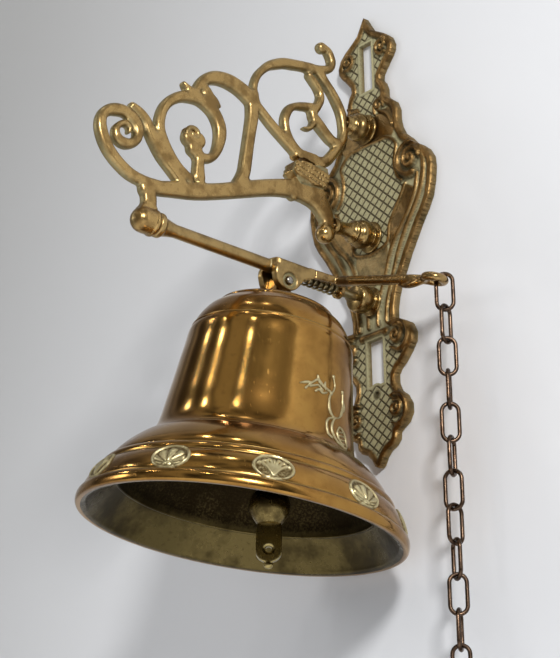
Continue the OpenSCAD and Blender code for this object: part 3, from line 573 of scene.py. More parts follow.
def nearest(points, starts, ends, widths=None):
    """Least distance to the segments (in widths where given) and the nearest place."""
    best = np.full(len(points), 1e9)
    place = np.zeros((len(points), 2))
    a, b = starts[:, :2], ends[:, :2]
    run = b - a
    length = np.maximum((run ** 2).sum(1), 1e-12)
    for k in range(len(a)):
        t = np.clip(((points - a[k]) @ run[k]) / length[k], 0, 1)
        foot = a[k] + t[:, None] * run[k]
        d = np.hypot(*(points - foot).T)
        if widths is not None:
            d = d / (widths[k] + t * (widths[k + 1] - widths[k]))
        near = d < best
        best[near] = d[near]
        place[near] = foot[near]
    return best, place


def inside(points, starts, ends):
    """Whether each point lies within the closed loops that the segments make."""
    crossings = np.zeros(len(points), int)
    for a, b in zip(starts, ends):
        cut = (a[1] > points[:, 1]) != (b[1] > points[:, 1])
        if a[1] != b[1]:
            x = a[0] + (points[:, 1] - a[1]) * (b[0] - a[0]) / (b[1] - a[1])
            crossings += cut & (points[:, 0] < x)
    return crossings % 2 == 1


def step(value, low, high):
    """Nothing below low, one above high and a smooth rise between them."""
    t = np.clip((value - low) / (high - low), 0, 1)
    return t * t * (3 - 2 * t)


def spiral(centre, r0, r1, start, turns, w0, w1, hand=1, count=44):
    """A coil as [across, up, half-width], from radius r0 to r1."""
    t = np.linspace(0, 1, count)
    a = np.radians(start) + hand * TURN * turns * t
    r = r0 + (r1 - r0) * t
    return np.stack([centre[0] + r * np.cos(a), centre[1] + r * np.sin(a), w0 + (w1 - w0) * t], 1)


def boundary_loops(bm, axis, at, within):
    """Closed loops round the flat faces that lie at one place along an axis, in its plane."""
    chosen = {f for f in bm.faces if all(abs(v.co[axis] - at) < within for v in f.verts)}
    rim = [e for e in bm.edges if sum(f in chosen for f in e.link_faces) == 1]
    beside = {}
    for e in rim:
        a, b = e.verts
        beside.setdefault(a, []).append(b)
        beside.setdefault(b, []).append(a)
    loops = []
    while beside:
        first = next(iter(beside))
        loop, here = [first], first
        while True:
            following = [v for v in beside.get(here, []) if v in beside and v not in loop[-2:]]
            beside.pop(here, None)
            if not following or following[0] is first:
                break
            here = following[0]
            loop.append(here)
        loops.append(np.array([v.co[:] for v in loop]))
    flat = [k for k in range(3) if k != axis]
    loops = [p[:, flat] for p in loops if len(p) > 3]
    if not loops:
        raise RuntimeError("a casting has no flat face where one is expected")
    return loops


# Drawing of the plate's relief: right half, as (across, up) and a ridge's half-width, in mm
FLOOR = 2.8
FIELD_RISE = 0.25
LEAF_RISE = 0.6
SCREW_HOLE_UP = -87.0
MAIN_FIELD = [(0, 50), (9.7, 49.2), (13, 49.2), (17.5, 46.5), (20.5, 43), (19.3, 38.8), (18.5, 34),
              (19.2, 29), (21, 24), (24.3, 21), (27, 20.6), (26.5, 19.5), (22.3, 14), (17.3, 7.2),
              (13.5, 1.6), (12.8, -2.2), (12.2, -6.6), (9, -9), (0, -11)]
TOP_CUT = [(0, 66), (5, 66.5), (4.8, 70.5), (6.6, 73.6), (10.5, 74.6), (15, 77), (40, 77),
           (40, 130), (0, 130)]
LOW_CUT = [(0, -57.6), (40, -57.6), (40, -130), (0, -130)]
SHOULDER = [(0, 51.5), (13, 51), (18, 49), (21, 53), (20, 58), (20, 63), (17, 67), (12, 66.5),
            (0, 64)]
LEAF = [(24.3, 20), (27, 19.4), (33, 15.6), (31, 10), (27, 4), (22, -2), (17, -7), (13.5, -11),
        (13.4, -7), (13.8, -2.2), (14.8, 1.6), (18.3, 7.2), (22.6, 13)]
UNDER_KNOB = [(0, -12.4), (9, -10.4), (12, -9.4), (12.4, -14), (10.6, -20), (8.6, -25), (5.6, -28),
              (0, -30)]
RIDGES = [
    [(40.2, 30.8, 1.2), (40.9, 24.5, 1.6), (39.6, 17, 1.6), (36.5, 9.5, 1.5), (32.1, 2.6, 1.4),
     (27.1, -4.2, 1.3), (22.7, -11.7, 1.3), (19.6, -18, 1.2), (17.7, -23, 1.2), (14.5, -31, 1.2),
     (12, -38, 1.1), (10.5, -45, 1.0), (10.2, -51, 0.9)],
    [(36.6, 22, 0.7), (35.9, 19.5, 1.2), (34, 13.3, 1.4), (30.2, 6.4, 1.4), (25.2, -0.5, 1.4),
     (19, -7.4, 1.3), (14.6, -14.2, 1.3), (12.1, -20.5, 1.2), (10.9, -24.2, 1.2), (8, -31, 1.1),
     (5.2, -38, 1.1), (3.8, -45, 1.0), (3.6, -51, 0.9)],
    [(0, 50.4, 0.9), (9.7, 50.0, 0.9), (13.4, 50.0, 0.9), (18.3, 47.2, 0.9), (21.4, 43.2, 1.0),
     (20.4, 38.8, 1.1), (19.6, 34, 1.1), (20.2, 29.5, 1.1), (21.8, 25, 1.0), (24.6, 22, 0.8)],
    [(27, 19.6, 0.7), (22.9, 13.2, 0.9), (18, 6.6, 1.0), (14.4, 1.2, 1.0), (13.7, -2.4, 1.0),
     (13, -7.2, 1.0), (9.4, -9.8, 0.9), (0, -11.8, 0.9)],
    [(0, -55.6, 1.7), (9, -55.4, 1.7)],
    [(6, 66.2, 0.8), (5.8, 70.2, 1.0), (7.2, 72.8, 1.1), (10.8, 73.8, 1.1), (14.6, 75.8, 0.9)],
]


def coils():
    """The scrolls' ridges, as [across, up, half-width]."""
    out = [
        spiral((31.9, 31.5), 6.4, 1.0, 0, 1.45, 1.6, 1.5),
        spiral((31.9, 31.5), 9.2, 8.4, 75, 0.58, 1.4, 2.1),
        spiral((13.0, 103.4), 4.9, 0.6, -60, 1.45, 1.25, 1.1, -1),
        spiral((9.6, 70.0), 3.4, 0.5, -20, 1.3, 1.05, 0.9),
        spiral((16.6, -59.4), 5.0, 0.7, 100, 1.55, 1.4, 1.2, -1),
        spiral((14.2, -97.4), 4.6, 0.7, 100, 1.5, 1.3, 1.15, -1),
    ]
    out.append(smooth_line([(12.0, -52.8, 0.9), (17.4, -51.9, 1.2), (23.0, -54.0, 1.5),
                            (25.6, -59.6, 1.8), (24.0, -65.4, 1.6), (18.6, -67.8, 1.3),
                            (13.0, -65.4, 0.9)], 4))
    out.append(smooth_line([(11.6, -90.6, 0.8), (14.6, -89.8, 1.1), (19.8, -92.0, 1.4),
                            (22.2, -97.8, 1.7), (20.6, -103.6, 1.5), (16.0, -106.0, 1.2),
                            (12.0, -104.6, 0.8)], 4))
    out.append(smooth_line([(9.6, 66.4, 0.9), (13.5, 64.2, 1.2), (17.4, 60.2, 1.2),
                            (19.2, 55.4, 1.0)], 4))
    return out


def plate_relief(across, up, rim, slot):
    """Height over the back, patina, lattice, and grime with painted shade in the creases, at each
    place of the plate, from its distances to the rim and to the slots."""
    at = np.stack([np.abs(across), up], 1)

    def field(drawn):
        starts, ends = segments(drawn, True)
        away, _ = nearest(at, starts, ends)
        within = inside(at, starts, ends)
        # The mirror line is no edge
        away = np.where(within & (at[:, 0] < away + 0.6), np.maximum(away, 1.5), away)
        return np.where(within, away, -away)

    rise = sizes().relief_rise / MM
    height = np.full(len(at), FLOOR)
    raised = np.zeros(len(at))
    for drawn, bright in ((SHOULDER, 0.9), (LEAF, 0.9), (UNDER_KNOB, 0.72)):
        s = step(field(drawn), -0.5, 0.7)
        height = np.maximum(height, FLOOR + LEAF_RISE * s)
        raised = np.maximum(raised, s * bright)
    fields = np.zeros(len(at))
    for drawn in (MAIN_FIELD, TOP_CUT, LOW_CUT):
        fields = np.maximum(fields, step(field(drawn), 0.0, 0.5))
    hole = np.hypot(at[:, 0], at[:, 1] - SCREW_HOLE_UP)
    fields *= step(rim, 3.6, 4.1) * step(slot, 1.4, 1.9) * step(hole, 3.0, 3.4)
    height += FIELD_RISE * fields
    # Painted shade and grime along the feet of the slots' frames
    dirt = np.exp(-((slot - 1.5) / 0.3) ** 2) * 0.8
    # Ridges with a narrow band of painted shade and grime beside them, and higher scrolls with a
    # wide one
    ridges = [(smooth_line(r, 4) * (1, 1, 1.25), 0.16, 1.0) for r in RIDGES]
    ridges += [(line, 0.45, 1.6) for line in coils()]
    for line, shade_band, lift in ridges:
        ratio, _ = nearest(at, *segments(line), line[:, 2])
        crest = np.sqrt(np.clip(1 - ratio ** 2, 0, 1))
        tall = lift * rise * np.clip(np.mean(line[:, 2]) / 1.4, 0.6, 1.15)
        height = np.maximum(height, FLOOR - 0.1 + tall * crest)
        raised = np.maximum(raised, step(crest, 0.2, 0.75))
        fields *= 1 - step(crest, 0.0, 0.1)
        # Painted shade and grime in the crease beside each ridge
        edge = np.exp(-(np.maximum(ratio - 1.0, 0) / shade_band) ** 2) * (ratio > 0.94)
        dirt = np.maximum(dirt * (ratio > 0.94), edge)
    # The border ridge along the rim, the flat frames of the slots and the screw hole, with painted
    # shade and grime at the ridge's foot and in the hole
    edge = np.sqrt(np.clip(1 - ((rim - 1.8) / 2.0) ** 2, 0, 1))
    dirt = np.maximum(dirt * (edge < 0.3), np.exp(-((rim - 3.95) / 0.35) ** 2) * 0.9)
    edge = np.where(rim < 1.8, np.maximum(edge, 0.55 + 0.3 * rim / 1.8), edge)
    height = np.maximum(height, FLOOR - 0.1 + 0.95 * rise * edge)
    raised = np.maximum(raised, step(edge, 0.2, 0.6))
    near_slot = 1 - step(slot, 1.0, 1.5)
    height = height * (1 - near_slot) + (FLOOR + 0.5) * near_slot
    raised *= 1 - near_slot
    dirt = np.maximum(dirt * (1 - near_slot), 1 - step(hole, 2.2, 3.0))
    return height, 1 - raised, np.clip(fields, 0, 1), dirt


class BELL_OT_plate(bpy.types.Operator):
    """Model the wall plate's relief over the outline of its construction"""
    bl_idname = "bell.plate"
    bl_label = "Wall plate"

    def execute(self, context):
        source = cad_copy("wall_plate")
        loops = boundary_loops(source, 1, 0, 0.01)
        source.free()
        if len(loops) < 4:
            raise RuntimeError("the plate's back face has fewer openings than expected")
        loops.sort(key=lambda p: -(np.ptp(p[:, 0]) * np.ptp(p[:, 1])))
        slots = [segments(p, True) for p in loops[1:] if np.ptp(p[:, 1]) > 12]
        bm = self.sheet(loops, sizes().relief_cell / MM)
        at = places(bm)[:, [0, 2]]
        rim, _ = nearest(at, *segments(loops[0], True))
        slot = np.min([nearest(at, *s)[0] for s in slots], axis=0)
        height, *masks = plate_relief(at[:, 0], at[:, 1], rim, slot)
        for v, h in zip(bm.verts, height):
            v.co.y = -h
        for name, mask in zip(("hollow", "lattice", "dirt"), masks):
            mark(bm, name, mask)
        self.close_back(bm)
        piece("plate_relief", bm, "wall_frame", ["plate_brass_aged"], ["wall_plate"],
              sharp=55, weld=0)
        return {"FINISHED"}

    def sheet(self, loops, cell):
        """A flat grid cut out along the plate's outline and its openings."""
        starts, ends = outline(loops)
        low, high = loops[0].min(0) - 0.6, loops[0].max(0) + 0.6
        nx, nz = np.ceil((high - low) / cell).astype(int)
        (wide, tall), middle = high - low, (low + high) / 2
        bm = bmesh.new()
        bmesh.ops.create_grid(bm, x_segments=int(nx), y_segments=int(nz), size=0.5)
        move(bm, Matrix(((wide, 0, 0, middle[0]), (0, 0, 1, 0), (0, tall, 0, middle[1]),
                         (0, 0, 0, 1))))
        at = places(bm)[:, [0, 2]]
        away, foot = nearest(at, starts, ends)
        # Places near an edge snap to it, and what lies further out goes
        signed = np.where(inside(at, starts, ends), away, -away)
        keep = signed > -0.66 * cell
        snap = (signed <= 0.35 * cell) & keep
        at[snap] = foot[snap]
        for v, p in zip(bm.verts, at):
            v.co.x, v.co.z = p
        gone = [v for v, k in zip(bm.verts, keep) if not k]
        held = {v for v, s in zip(bm.verts, snap) if s}
        # A face with all its corners on an edge may bridge a gap
        edge_faces = [f for f in bm.faces if all(v in held for v in f.verts)]
        if edge_faces:
            centres = np.array([f.calc_center_median().xz for f in edge_faces])
            real = inside(centres, starts, ends)
            bmesh.ops.delete(bm, geom=[f for f, r in zip(edge_faces, real) if not r],
                             context="FACES_ONLY")
        bmesh.ops.delete(bm, geom=gone, context="VERTS")
        bmesh.ops.delete(bm, geom=[v for v in bm.verts if not v.link_faces], context="VERTS")
        bmesh.ops.remove_doubles(bm, verts=bm.verts, dist=0.03)
        return bm

    def close_back(self, bm):
        """Draw the edges down to the wall and fill the plate's back."""
        edges = [e for e in bm.edges if e.is_boundary]
        new = bmesh.ops.extrude_edge_only(bm, edges=edges)["geom"]
        layers = bm.verts.layers.float
        for v in (g for g in new if isinstance(g, bmesh.types.BMVert)):
            v.co.y = 0
            v[layers["hollow"]], v[layers["lattice"]] = 0.3, 0.0
            # Painted shade and grime on the new side walls: full in the screw hole, light
            # elsewhere
            in_hole = math.hypot(v.co.x, v.co.z - SCREW_HOLE_UP) < 3
            v[layers["dirt"]] = 1.0 if in_hole else 0.3
        back = [g for g in new if isinstance(g, bmesh.types.BMEdge) and g.is_boundary]
        bmesh.ops.triangle_fill(bm, use_beauty=True, use_dissolve=False, edges=back)
        bmesh.ops.recalc_face_normals(bm, faces=bm.faces)


# Half of the bracket's thickness, and its eye, foot and collar as (y, z)
BRACKET_FACE = 3.0
EYE = (-REACH, AXLE_Z)
FOOT = (-35, -8)
COLLAR = (-46, 20.6)


class BELL_OT_bracket(bpy.types.Operator):
    """Round the bracket's casting, keep its collar and eye, and add its small curl"""
    bl_idname = "bell.bracket"
    bl_label = "Scroll bracket"

    def execute(self, context):
        source = cad_copy("scroll_bracket")
        starts, ends = outline(boundary_loops(source, 0, BRACKET_FACE, 0.02))
        bm = remeshed(source, 0.5)
        co = places(bm)
        flat = np.abs(co[:, 0]) <= BRACKET_FACE + 0.06
        side, _ = nearest(co[:, [1, 2]], starts, ends)
        radius = sizes().casting_round / MM
        depth = np.clip(radius - side, 0, radius)
        drop = radius - np.sqrt(np.maximum(radius ** 2 - depth ** 2, 0))
        from_collar = np.hypot(co[:, 1] - COLLAR[0], co[:, 2] - COLLAR[1])
        # The rounding fades out round the eye, the foot and the collar
        keep = np.ones(len(co))
        for (y, z), near, far in ((EYE, 7.4, 9.4), (FOOT, 4.6, 6.0), (COLLAR, 12.6, 14.6)):
            keep *= step(np.hypot(co[:, 1] - y, co[:, 2] - z), near, far)
        co[:, 0] *= 1 - keep * flat * drop / BRACKET_FACE
        set_places(bm, co)
        smoothed(bm, 7, [v for v, k, f in zip(bm.verts, keep, flat) if k > 0.2 and f])
        out = np.abs(co[:, 0])
        hollow = 0.75 * np.clip(1.15 - out / 2.6, 0, 1) ** 0.8 * keep
        on_collar = (from_collar < 12.5) & (out > BRACKET_FACE + 0.1)
        mark(bm, "hollow", np.where(on_collar, 0.8 * step(4.95 - out, 0.1, 1.3), hollow))
        piece("bracket_casting", bm, "wall_frame", ["cast_brass_aged"], ["scroll_bracket"],
              sharp=60)
        curls = []
        line = spiral((-119.6, 22.6), 4.8, 0.8, -80, 1.35, 1.5, 1.25, -1, 60)
        for side in (-1, 1):
            bulge = np.interp(np.arange(60), [0, 8, 59], [0.6, 1.4, 2.2]) * side
            curls.append(tube(np.stack([bulge, *line.T[:2]], 1), line[:, 2], sides=4))
        whole = remeshed(joined(*curls), 0.3)
        mark(whole, "hollow", [0.2] * len(whole.verts))
        piece("bracket_curl", whole, "wall_frame", ["cast_brass_aged"], [],
              sharp=60)
        return {"FINISHED"}


# Outlines of the knobs from the plate outwards, as (radius, distance from the wall)
KNOBS = {
    "upper_standoff": [
        (7.6, 4.2), (8.3, 4.7), (8.4, 5.2), (8.0, 5.8), (6.6, 6.3), (5.4, 6.8), (5.5, 7.2),
        (6.6, 8.1), (7.4, 9.3), (7.6, 10.5), (7.3, 11.8), (6.4, 13.0), (5.2, 13.8), (4.8, 14.2),
        (5.3, 14.7), (5.5, 15.2), (5.1, 15.8), (4.6, 16.6), (4.3, 17.6), (3.9, 18.6),
        (3.7, 19.1)],
    "lower_standoff": [
        (7.6, 2.8), (8.3, 3.3), (8.4, 3.8), (8.0, 4.4), (6.6, 4.9), (5.5, 5.4), (5.6, 6.0),
        (6.7, 7.2), (7.4, 8.8), (7.6, 10.4), (7.4, 12.0), (6.6, 13.6), (5.6, 14.6), (5.4, 15.2),
        (5.9, 15.8), (6.1, 16.4), (5.8, 17.0), (4.9, 17.8), (4.1, 19.4), (3.6, 22.0),
        (3.5, 25.0), (3.8, 26.6), (4.4, 28.0), (4.3, 29.0), (3.9, 30.1)],
    "bearing_knob": [
        (6.8, 4.2), (7.5, 4.6), (7.6, 5.1), (7.2, 5.7), (6.0, 6.3), (5.4, 6.8), (5.6, 7.3),
        (6.4, 8.1), (7.1, 9.1), (7.4, 10.6), (7.4, 13.4), (7.2, 14.6), (6.8, 15.5),
        (6.2, 16.0)],
}


class BELL_OT_knobs(bpy.types.Operator):
    """Turn the three knobs that carry the bracket and the axle"""
    bl_idname = "bell.knobs"
    bl_label = "Turned knobs"

    def execute(self, context):
        low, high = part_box("bearing_knob")
        heights = {"upper_standoff": 58.5, "lower_standoff": -2.0,
                   "bearing_knob": (low.z + high.z) / 2 / MM}
        for name, profile in KNOBS.items():
            bm = capped(lathe(smooth_line(profile, 3).tolist(), 72))
            move(bm, shift(0, 0, heights[name]) @ OUT_FROM_WALL)
            piece(name + "_turned", bm, "wall_frame", ["knob_brass"], [name],
                  sharp=50)
        return {"FINISHED"}


# In the rocker's own frame: the cheek's flat face, the fork's end and the rod's radius
FORK_FACE = 7.7
FORK_END = -9.7
ROD_R = 3.3


class BELL_OT_rocker(bpy.types.Operator):
    """Round the rocker's rod and fork, and set the riveted end of the bell's pin"""
    bl_idname = "bell.rocker"
    bl_label = "Rocker"

    def execute(self, context):
        source = move(cad_copy("rocker"), ON_ROCKER.inverted())
        starts, ends = outline(boundary_loops(source, 0, FORK_FACE, 0.02))
        bm = remeshed(source, 0.3)
        co = places(bm)
        side, _ = nearest(co[:, [1, 2]], starts, ends)
        # The cheek runs on into the arm's strap, so that end keeps its edge
        radius = 1.5
        depth = np.clip(radius - side, 0, radius) * (1 - step(co[:, 1], 11.5, 14.0))
        limit = FORK_FACE - radius + np.sqrt(radius ** 2 - depth ** 2)
        co[:, 0] = np.clip(co[:, 0], -limit, limit)
        # The cheeks' lower corners are round
        centre, radius = (-0.8, -3.0), 8.9
        low = co[:, [1, 2]] - centre
        corner = (co[:, 2] < -3.7) & (np.abs(co[:, 1]) < -FORK_END)
        pull = self.pull_in(np.hypot(*low.T), radius, corner)
        co[:, [1, 2]] = centre + low * pull[:, None]
        # The fork's shoulders run into the rod
        wide = np.maximum(np.abs(co[:, 0]) - ROD_R, 0)
        ahead = np.maximum(-4.8 - co[:, 1], 0) * (co[:, 1] > FORK_END)
        pull = self.pull_in(np.hypot(wide, ahead), 4.4, (wide > 0) & (ahead > 0))
        pull = 1 + (pull - 1) * step(co[:, 2], -2.5, 1.0)
        co[:, 0] -= np.sign(co[:, 0]) * wide * (1 - pull)
        co[:, 1] += ahead * (1 - pull)
        set_places(bm, co)
        smoothed(bm, 6)
        recess = np.hypot(co[:, 1], co[:, 2] + PIN_DROP)
        hollow = np.where((np.abs(recess - 3.4) < 0.7) & (co[:, 0] > 5), 0.9, 0.15)
        hollow = np.maximum(hollow, 0.6 * (np.abs(co[:, 0]) < 3.6) * (co[:, 1] > -10))
        mark(bm, "hollow", hollow)
        piece("rocker_casting", move(bm, ON_ROCKER), "rocker_frame", ["cast_brass_aged"],
              ["rocker"], sharp=60)
        dome = [(2.0 * math.cos(a), 0.9 * math.sin(a)) for a in np.linspace(0, 1.57, 9)]
        rivet = move(capped(lathe(dome, 48)), ON_ROCKER @ shift(7.42, 0, -PIN_DROP)
                     @ turn("Y", 90))
        piece("pin_rivet", rivet, "rocker_frame", ["dull_steel"], [])
        return {"FINISHED"}

    def pull_in(self, reach, radius, chosen):
        """By how much the chosen places come in to lie on a circle."""
        return np.where(chosen & (reach > radius), radius / np.maximum(reach, 1), 1.0)


class BELL_OT_arm(bpy.types.Operator):
    """Bend the chain arm's bar round into its eye, with the tail laid along the bar"""
    bl_idname = "bell.arm"
    bl_label = "Chain arm"

    def execute(self, context):
        # Places along the bar, as (along, across, up, radius)
        line = [(0, 0, 0, 2.7), (12, 0, 0, 2.65), (26, 0, 0, 2.6), (38, 0, 0, 2.55),
                (44, 0.1, 0.1, 2.5), (49, 0.7, 0.3, 2.3), (53, 1.9, 0.3, 2.25)]
        for a in np.radians(range(140, -171, -18)):
            line.append((ARM_LEN + ARM_EYE_R * math.cos(a), ARM_EYE_R * math.sin(a), 0,
                         ARM_EYE_WIRE / 2))
        line += [(53.2, -1.6, -1.2, 2.1), (49.5, -1.2, -2.4, 1.9), (45.5, -0.4, -3.0, 1.6),
                 (41.5, 0.3, -2.9, 1.2), (38, 0.7, -2.4, 0.7)]
        line = smooth_line(line, 3)
        bar = move(tube(line[:, :3], line[:, 3], sides=7), ON_ARM)
        strap = cad_copy("chain_arm")
        on_arm = ON_ARM.inverted()
        beyond = [v for v in strap.verts if (on_arm @ v.co).x > 2.2]
        bmesh.ops.delete(strap, geom=beyond, context="VERTS")
        whole = smoothed(remeshed(joined(bar, capped(strap)), 0.35), 3)
        piece("arm_bar", whole, "rocker_frame", ["dark_brass_worn"], ["chain_arm"],
              sharp=60)
        return {"FINISHED"}


class BELL_OT_spring(bpy.types.Operator):
    """Wind the return spring round the wall end of the axle"""
    bl_idname = "bell.spring"
    bl_label = "Return spring"

    def execute(self, context):
        start, end, turns, radius, wire = 12.9, 34.6, 6.5, 3.1, 0.6
        steps = int(turns * 22)
        line = [(radius * math.cos(TURN * turns * k / steps), start + (end - start) * k / steps,
                 radius * math.sin(TURN * turns * k / steps)) for k in range(steps + 1)]
        bm = move(tube(line, wire, sides=3), ON_ROCKER)
        piece("spring_coil", bm, "rocker_frame", ["spring_wire_dull"], ["return_spring"])
        return {"FINISHED"}


# Outline of the bell from the crown's hole to the lip and back up inside, as (radius, depth)
BELL_OUTSIDE = [
    (4.1, 0), (10, 0.1), (16, 1.2), (21, 2.9), (24.5, 4.3), (26.6, 5.3), (27.8, 6.1), (28.4, 6.8),
    (28.5, 7.3), (29.2, 7.9), (31, 9.4), (33.4, 11.4), (35.6, 14.4), (37.2, 17), (38.2, 19.4),
    (38.6, 20.8), (38.7, 21.2), (39.3, 21.4), (39.5, 21.8), (39.3, 22.3), (39.7, 23), (40.3, 24.6),
    (40.7, 27), (41.2, 31.5), (42.3, 38.9), (43.4, 47), (44.6, 55.5), (45.6, 62), (46.3, 67),
    (47.0, 71), (47.8, 74.4), (48.9, 77.2), (50.3, 79.3), (51.3, 80.2), (51.6, 80.5), (52.6, 80.8),
    (54.6, 81.9), (57.2, 83.9), (60.0, 86.4), (62.9, 89.4), (65.2, 92.2), (66.5, 94.4),
    (67.0, 95.6), (67.1, 96.0), (67.8, 96.1), (69.2, 96.7), (70.2, 97.8), (70.6, 99.0),
    (70.5, 99.9), (70.8, 100.3), (72.2, 101.6), (74.0, 103.8), (75.5, 106.4), (76.7, 109.2),
    (77.2, 111.2), (77.2, 111.9), (77.9, 112.2), (78.9, 113.0), (79.4, 114.3), (79.5, 115.6),
    (79.3, 117.0), (78.7, 117.8), (77.9, 118)]
CREASES = (21.3, 80.6, 96.0, 100.1, 111.9)
BELL_INSIDE = [
    (76.6, 117.9), (75.3, 117.6), (74.4, 117.0), (73.9, 116.2), (73.4, 115.4), (71.8, 113.2),
    (69.4, 109.9), (66.6, 106.4), (64.2, 103.7), (63.2, 102.8), (62.6, 102.9), (62.1, 102.5),
    (61.9, 101.6), (61.4, 99.6), (60.6, 97.0), (59.2, 94), (55.5, 88.6), (50.6, 83),
    (47.6, 78.8), (45.9, 75.2), (44.2, 66), (42, 55.5), (39.2, 39), (36.4, 22.4), (34, 18.4),
    (31.3, 15.9), (27.4, 12.2), (23.1, 9.1), (20.5, 6), (19, 3.8), (18.4, 3.3), (12, 3.2),
    (4.1, 3.2)]


def bell_place(angle, depth, out):
    """A place at that depth on the bell's outside, raised along its normal."""
    radii, depths = np.array(BELL_OUTSIDE).T
    r = np.interp(depth, depths, radii)
    slope = (np.interp(depth + 0.8, depths, radii) - np.interp(depth - 0.8, depths, radii)) / 1.6
    length = np.hypot(1, slope)
    r = r + out / length
    z = -CROWN_DROP - depth + out * slope / length
    return np.stack([r * np.cos(angle), r * np.sin(angle), z], -1)


def ornament(cells, middle, half, relief):
    """A patch of cast ornament, sunk in the bell where its relief is nothing. Its middle and its
    half size are degrees round the bell and millimetres of depth."""
    bm = bmesh.new()
    bmesh.ops.create_grid(bm, x_segments=cells[0], y_segments=cells[1], size=1)
    u, v = places(bm)[:, :2].T
    rise, hollow = relief(u, v)
    angle = np.radians(middle[0] + u * half[0])
    set_places(bm, bell_place(angle, middle[1] + v * half[1], rise))
    mark(bm, "hollow", hollow)
    bmesh.ops.recalc_face_normals(bm, faces=bm.faces)
    outwards = sum(f.calc_center_median().xy.dot(f.normal.xy) for f in bm.faces)
    if outwards < 0:
        bmesh.ops.reverse_faces(bm, faces=bm.faces)
    bmesh.ops.solidify(bm, geom=bm.faces, thickness=0.5)
    bmesh.ops.recalc_face_normals(bm, faces=bm.faces)
    return bm


def medallion(u, v, raised):
    """An oval rim round a drawing, as heights and as dirt in its grooves."""
    oval = np.hypot(u, v)
    within = 1 - step(oval, 0.70, 0.77)
    raised = np.maximum(raised * within, np.exp(-((oval - 0.84) / 0.062) ** 2))
    ground = 1 - step(oval, 0.90, 0.97)
    rise = sizes().medallion_rise / MM
    return -0.4 + ground * (0.45 + rise * raised), 0.85 * np.clip(1.1 - 1.5 * raised, 0, 1)


def shell_relief(u, v):
    """A shell with its ribs fanned from the foot of the oval."""
    up = v + 0.60
    reach = np.hypot(u, up)
    fan = np.arctan2(u, up)
    ribs = (0.5 + 0.5 * np.cos(fan * 13.0)) ** 0.5
    length = 1.24 - 0.30 * np.abs(fan) ** 1.4
    leaf = ribs * step(reach, 0.10, 0.34) * (1 - step(reach, length - 0.14, length))
    foot = np.exp(-((reach - 0.10) / 0.10) ** 2)
    return medallion(u, v, np.maximum(leaf, foot))


def palmette_relief(u, v):
    """A palmette: a middle leaf with two pairs of leaves that curl outwards."""
    raised = np.exp(-(u / 0.07) ** 2) * (1 - step(np.abs(v + 0.05), 0.50, 0.62))
    for side in (-1, 1):
        for bow, high, wide in ((0.16, 0.62, 0.055), (0.34, 0.44, 0.060), (0.54, 0.20, 0.060)):
            line = smooth_line([(0.02 * side, -0.62, wide), (bow * 0.45 * side, -0.15, wide * 1.2),
                                (bow * side, high * 0.7, wide * 1.2),
                                ((bow + 0.12) * side, high * 0.62, wide),
                                ((bow + 0.16) * side, high * 0.35, wide * 0.8)], 4)
            ratio, _ = nearest(np.stack([u, v], 1), *segments(line), line[:, 2])
            raised = np.maximum(raised, np.sqrt(np.clip(1.3 - ratio ** 2, 0, 1)))
    foot = np.exp(-(np.hypot(u, v + 0.56) / 0.12) ** 2)
    return medallion(u, v, np.maximum(raised, foot))


# The sprig on the bell's waist: stems as [degrees round, depth, half-width]
SPRIG = [
    [(-15.5, 54.6, 0.25), (-11, 53.2, 0.7), (-7.5, 52.6, 0.5), (-3, 50.0, 0.6), (1, 52.2, 0.7),
     (6.5, 53.4, 0.5), (9, 54.2, 0.5)],
    [(-8.5, 54.6, 0.6), (-5.5, 53.6, 0.5), (-2.5, 52.8, 0.4), (0.5, 54.6, 0.7)],
    [(-11.5, 56.2, 0.6), (-9.5, 54.4, 0.5), (-7.5, 52.8, 0.4)],
    [(-3.5, 48.3, 0.6), (-2.6, 50.2, 0.7), (-1, 52.0, 0.4)],
    [(2.6, 50.0, 0.4), (2.4, 51.8, 0.7), (3.2, 53.4, 0.4)],
    [(-4.5, 56.0, 0.5), (-2.0, 54.8, 0.6), (1.0, 55.8, 0.5), (4.0, 54.8, 0.5)],
    [(10.0, 45.3, 0.9), (10.1, 46.4, 0.4), (11.3, 49.5, 0.3), (10.2, 52.4, 0.4), (8.2, 53.8, 0.4)],
    [(8, 53.8, 0.5), (6.6, 57.5, 0.6), (7.0, 61.8, 0.8), (9.0, 64.4, 0.6), (12, 65.5, 0.4)],
    [(20, 50.3, 0.8), (20.2, 51.8, 0.4), (20.6, 55.4, 0.7), (20.4, 57.0, 0.4), (19.2, 61, 0.8),
     (16.5, 64.0, 0.4), (12, 65.5, 0.4)],
    [(20.6, 55.4, 0.7), (22.4, 57.2, 0.6), (21.4, 59.6, 0.5)],
    [(12, 65.5, 0.4), (7.2, 66.8, 0.5), (5.0, 69.6, 0.6), (6.0, 74.4, 0.6), (9.2, 76.2, 0.3)],
    [(12, 65.5, 0.5), (9.8, 68.8, 0.6), (9.6, 72.4, 0.6), (12.6, 76.2, 0.5), (17.0, 78.0, 0.4),
     (21.5, 78.2, 0.3)],
    [(16.8, 68.6, 0.4), (20.0, 69.2, 0.6), (23.6, 72.0, 0.6), (23.4, 76.2, 0.5),
     (21.5, 78.2, 0.3)],
    [(16.8, 68.6, 0.4), (14.4, 71.6, 0.4), (15.4, 74.8, 0.4), (19.0, 77.4, 0.3)],
    [(16.2, 71.2, 0.3), (19.6, 70.6, 0.35)], [(16.4, 73.0, 0.3), (21.2, 72.2, 0.35)],
    [(17.4, 74.8, 0.3), (22.2, 74.0, 0.35)], [(19.2, 76.4, 0.3), (22.4, 75.8, 0.3)],
]
SPRIG_MIDDLE = (3.5, 62.5)
SPRIG_HALF = (21.5, 18.5)
# Millimetres round the waist for each degree
WAIST_ARC = 0.785


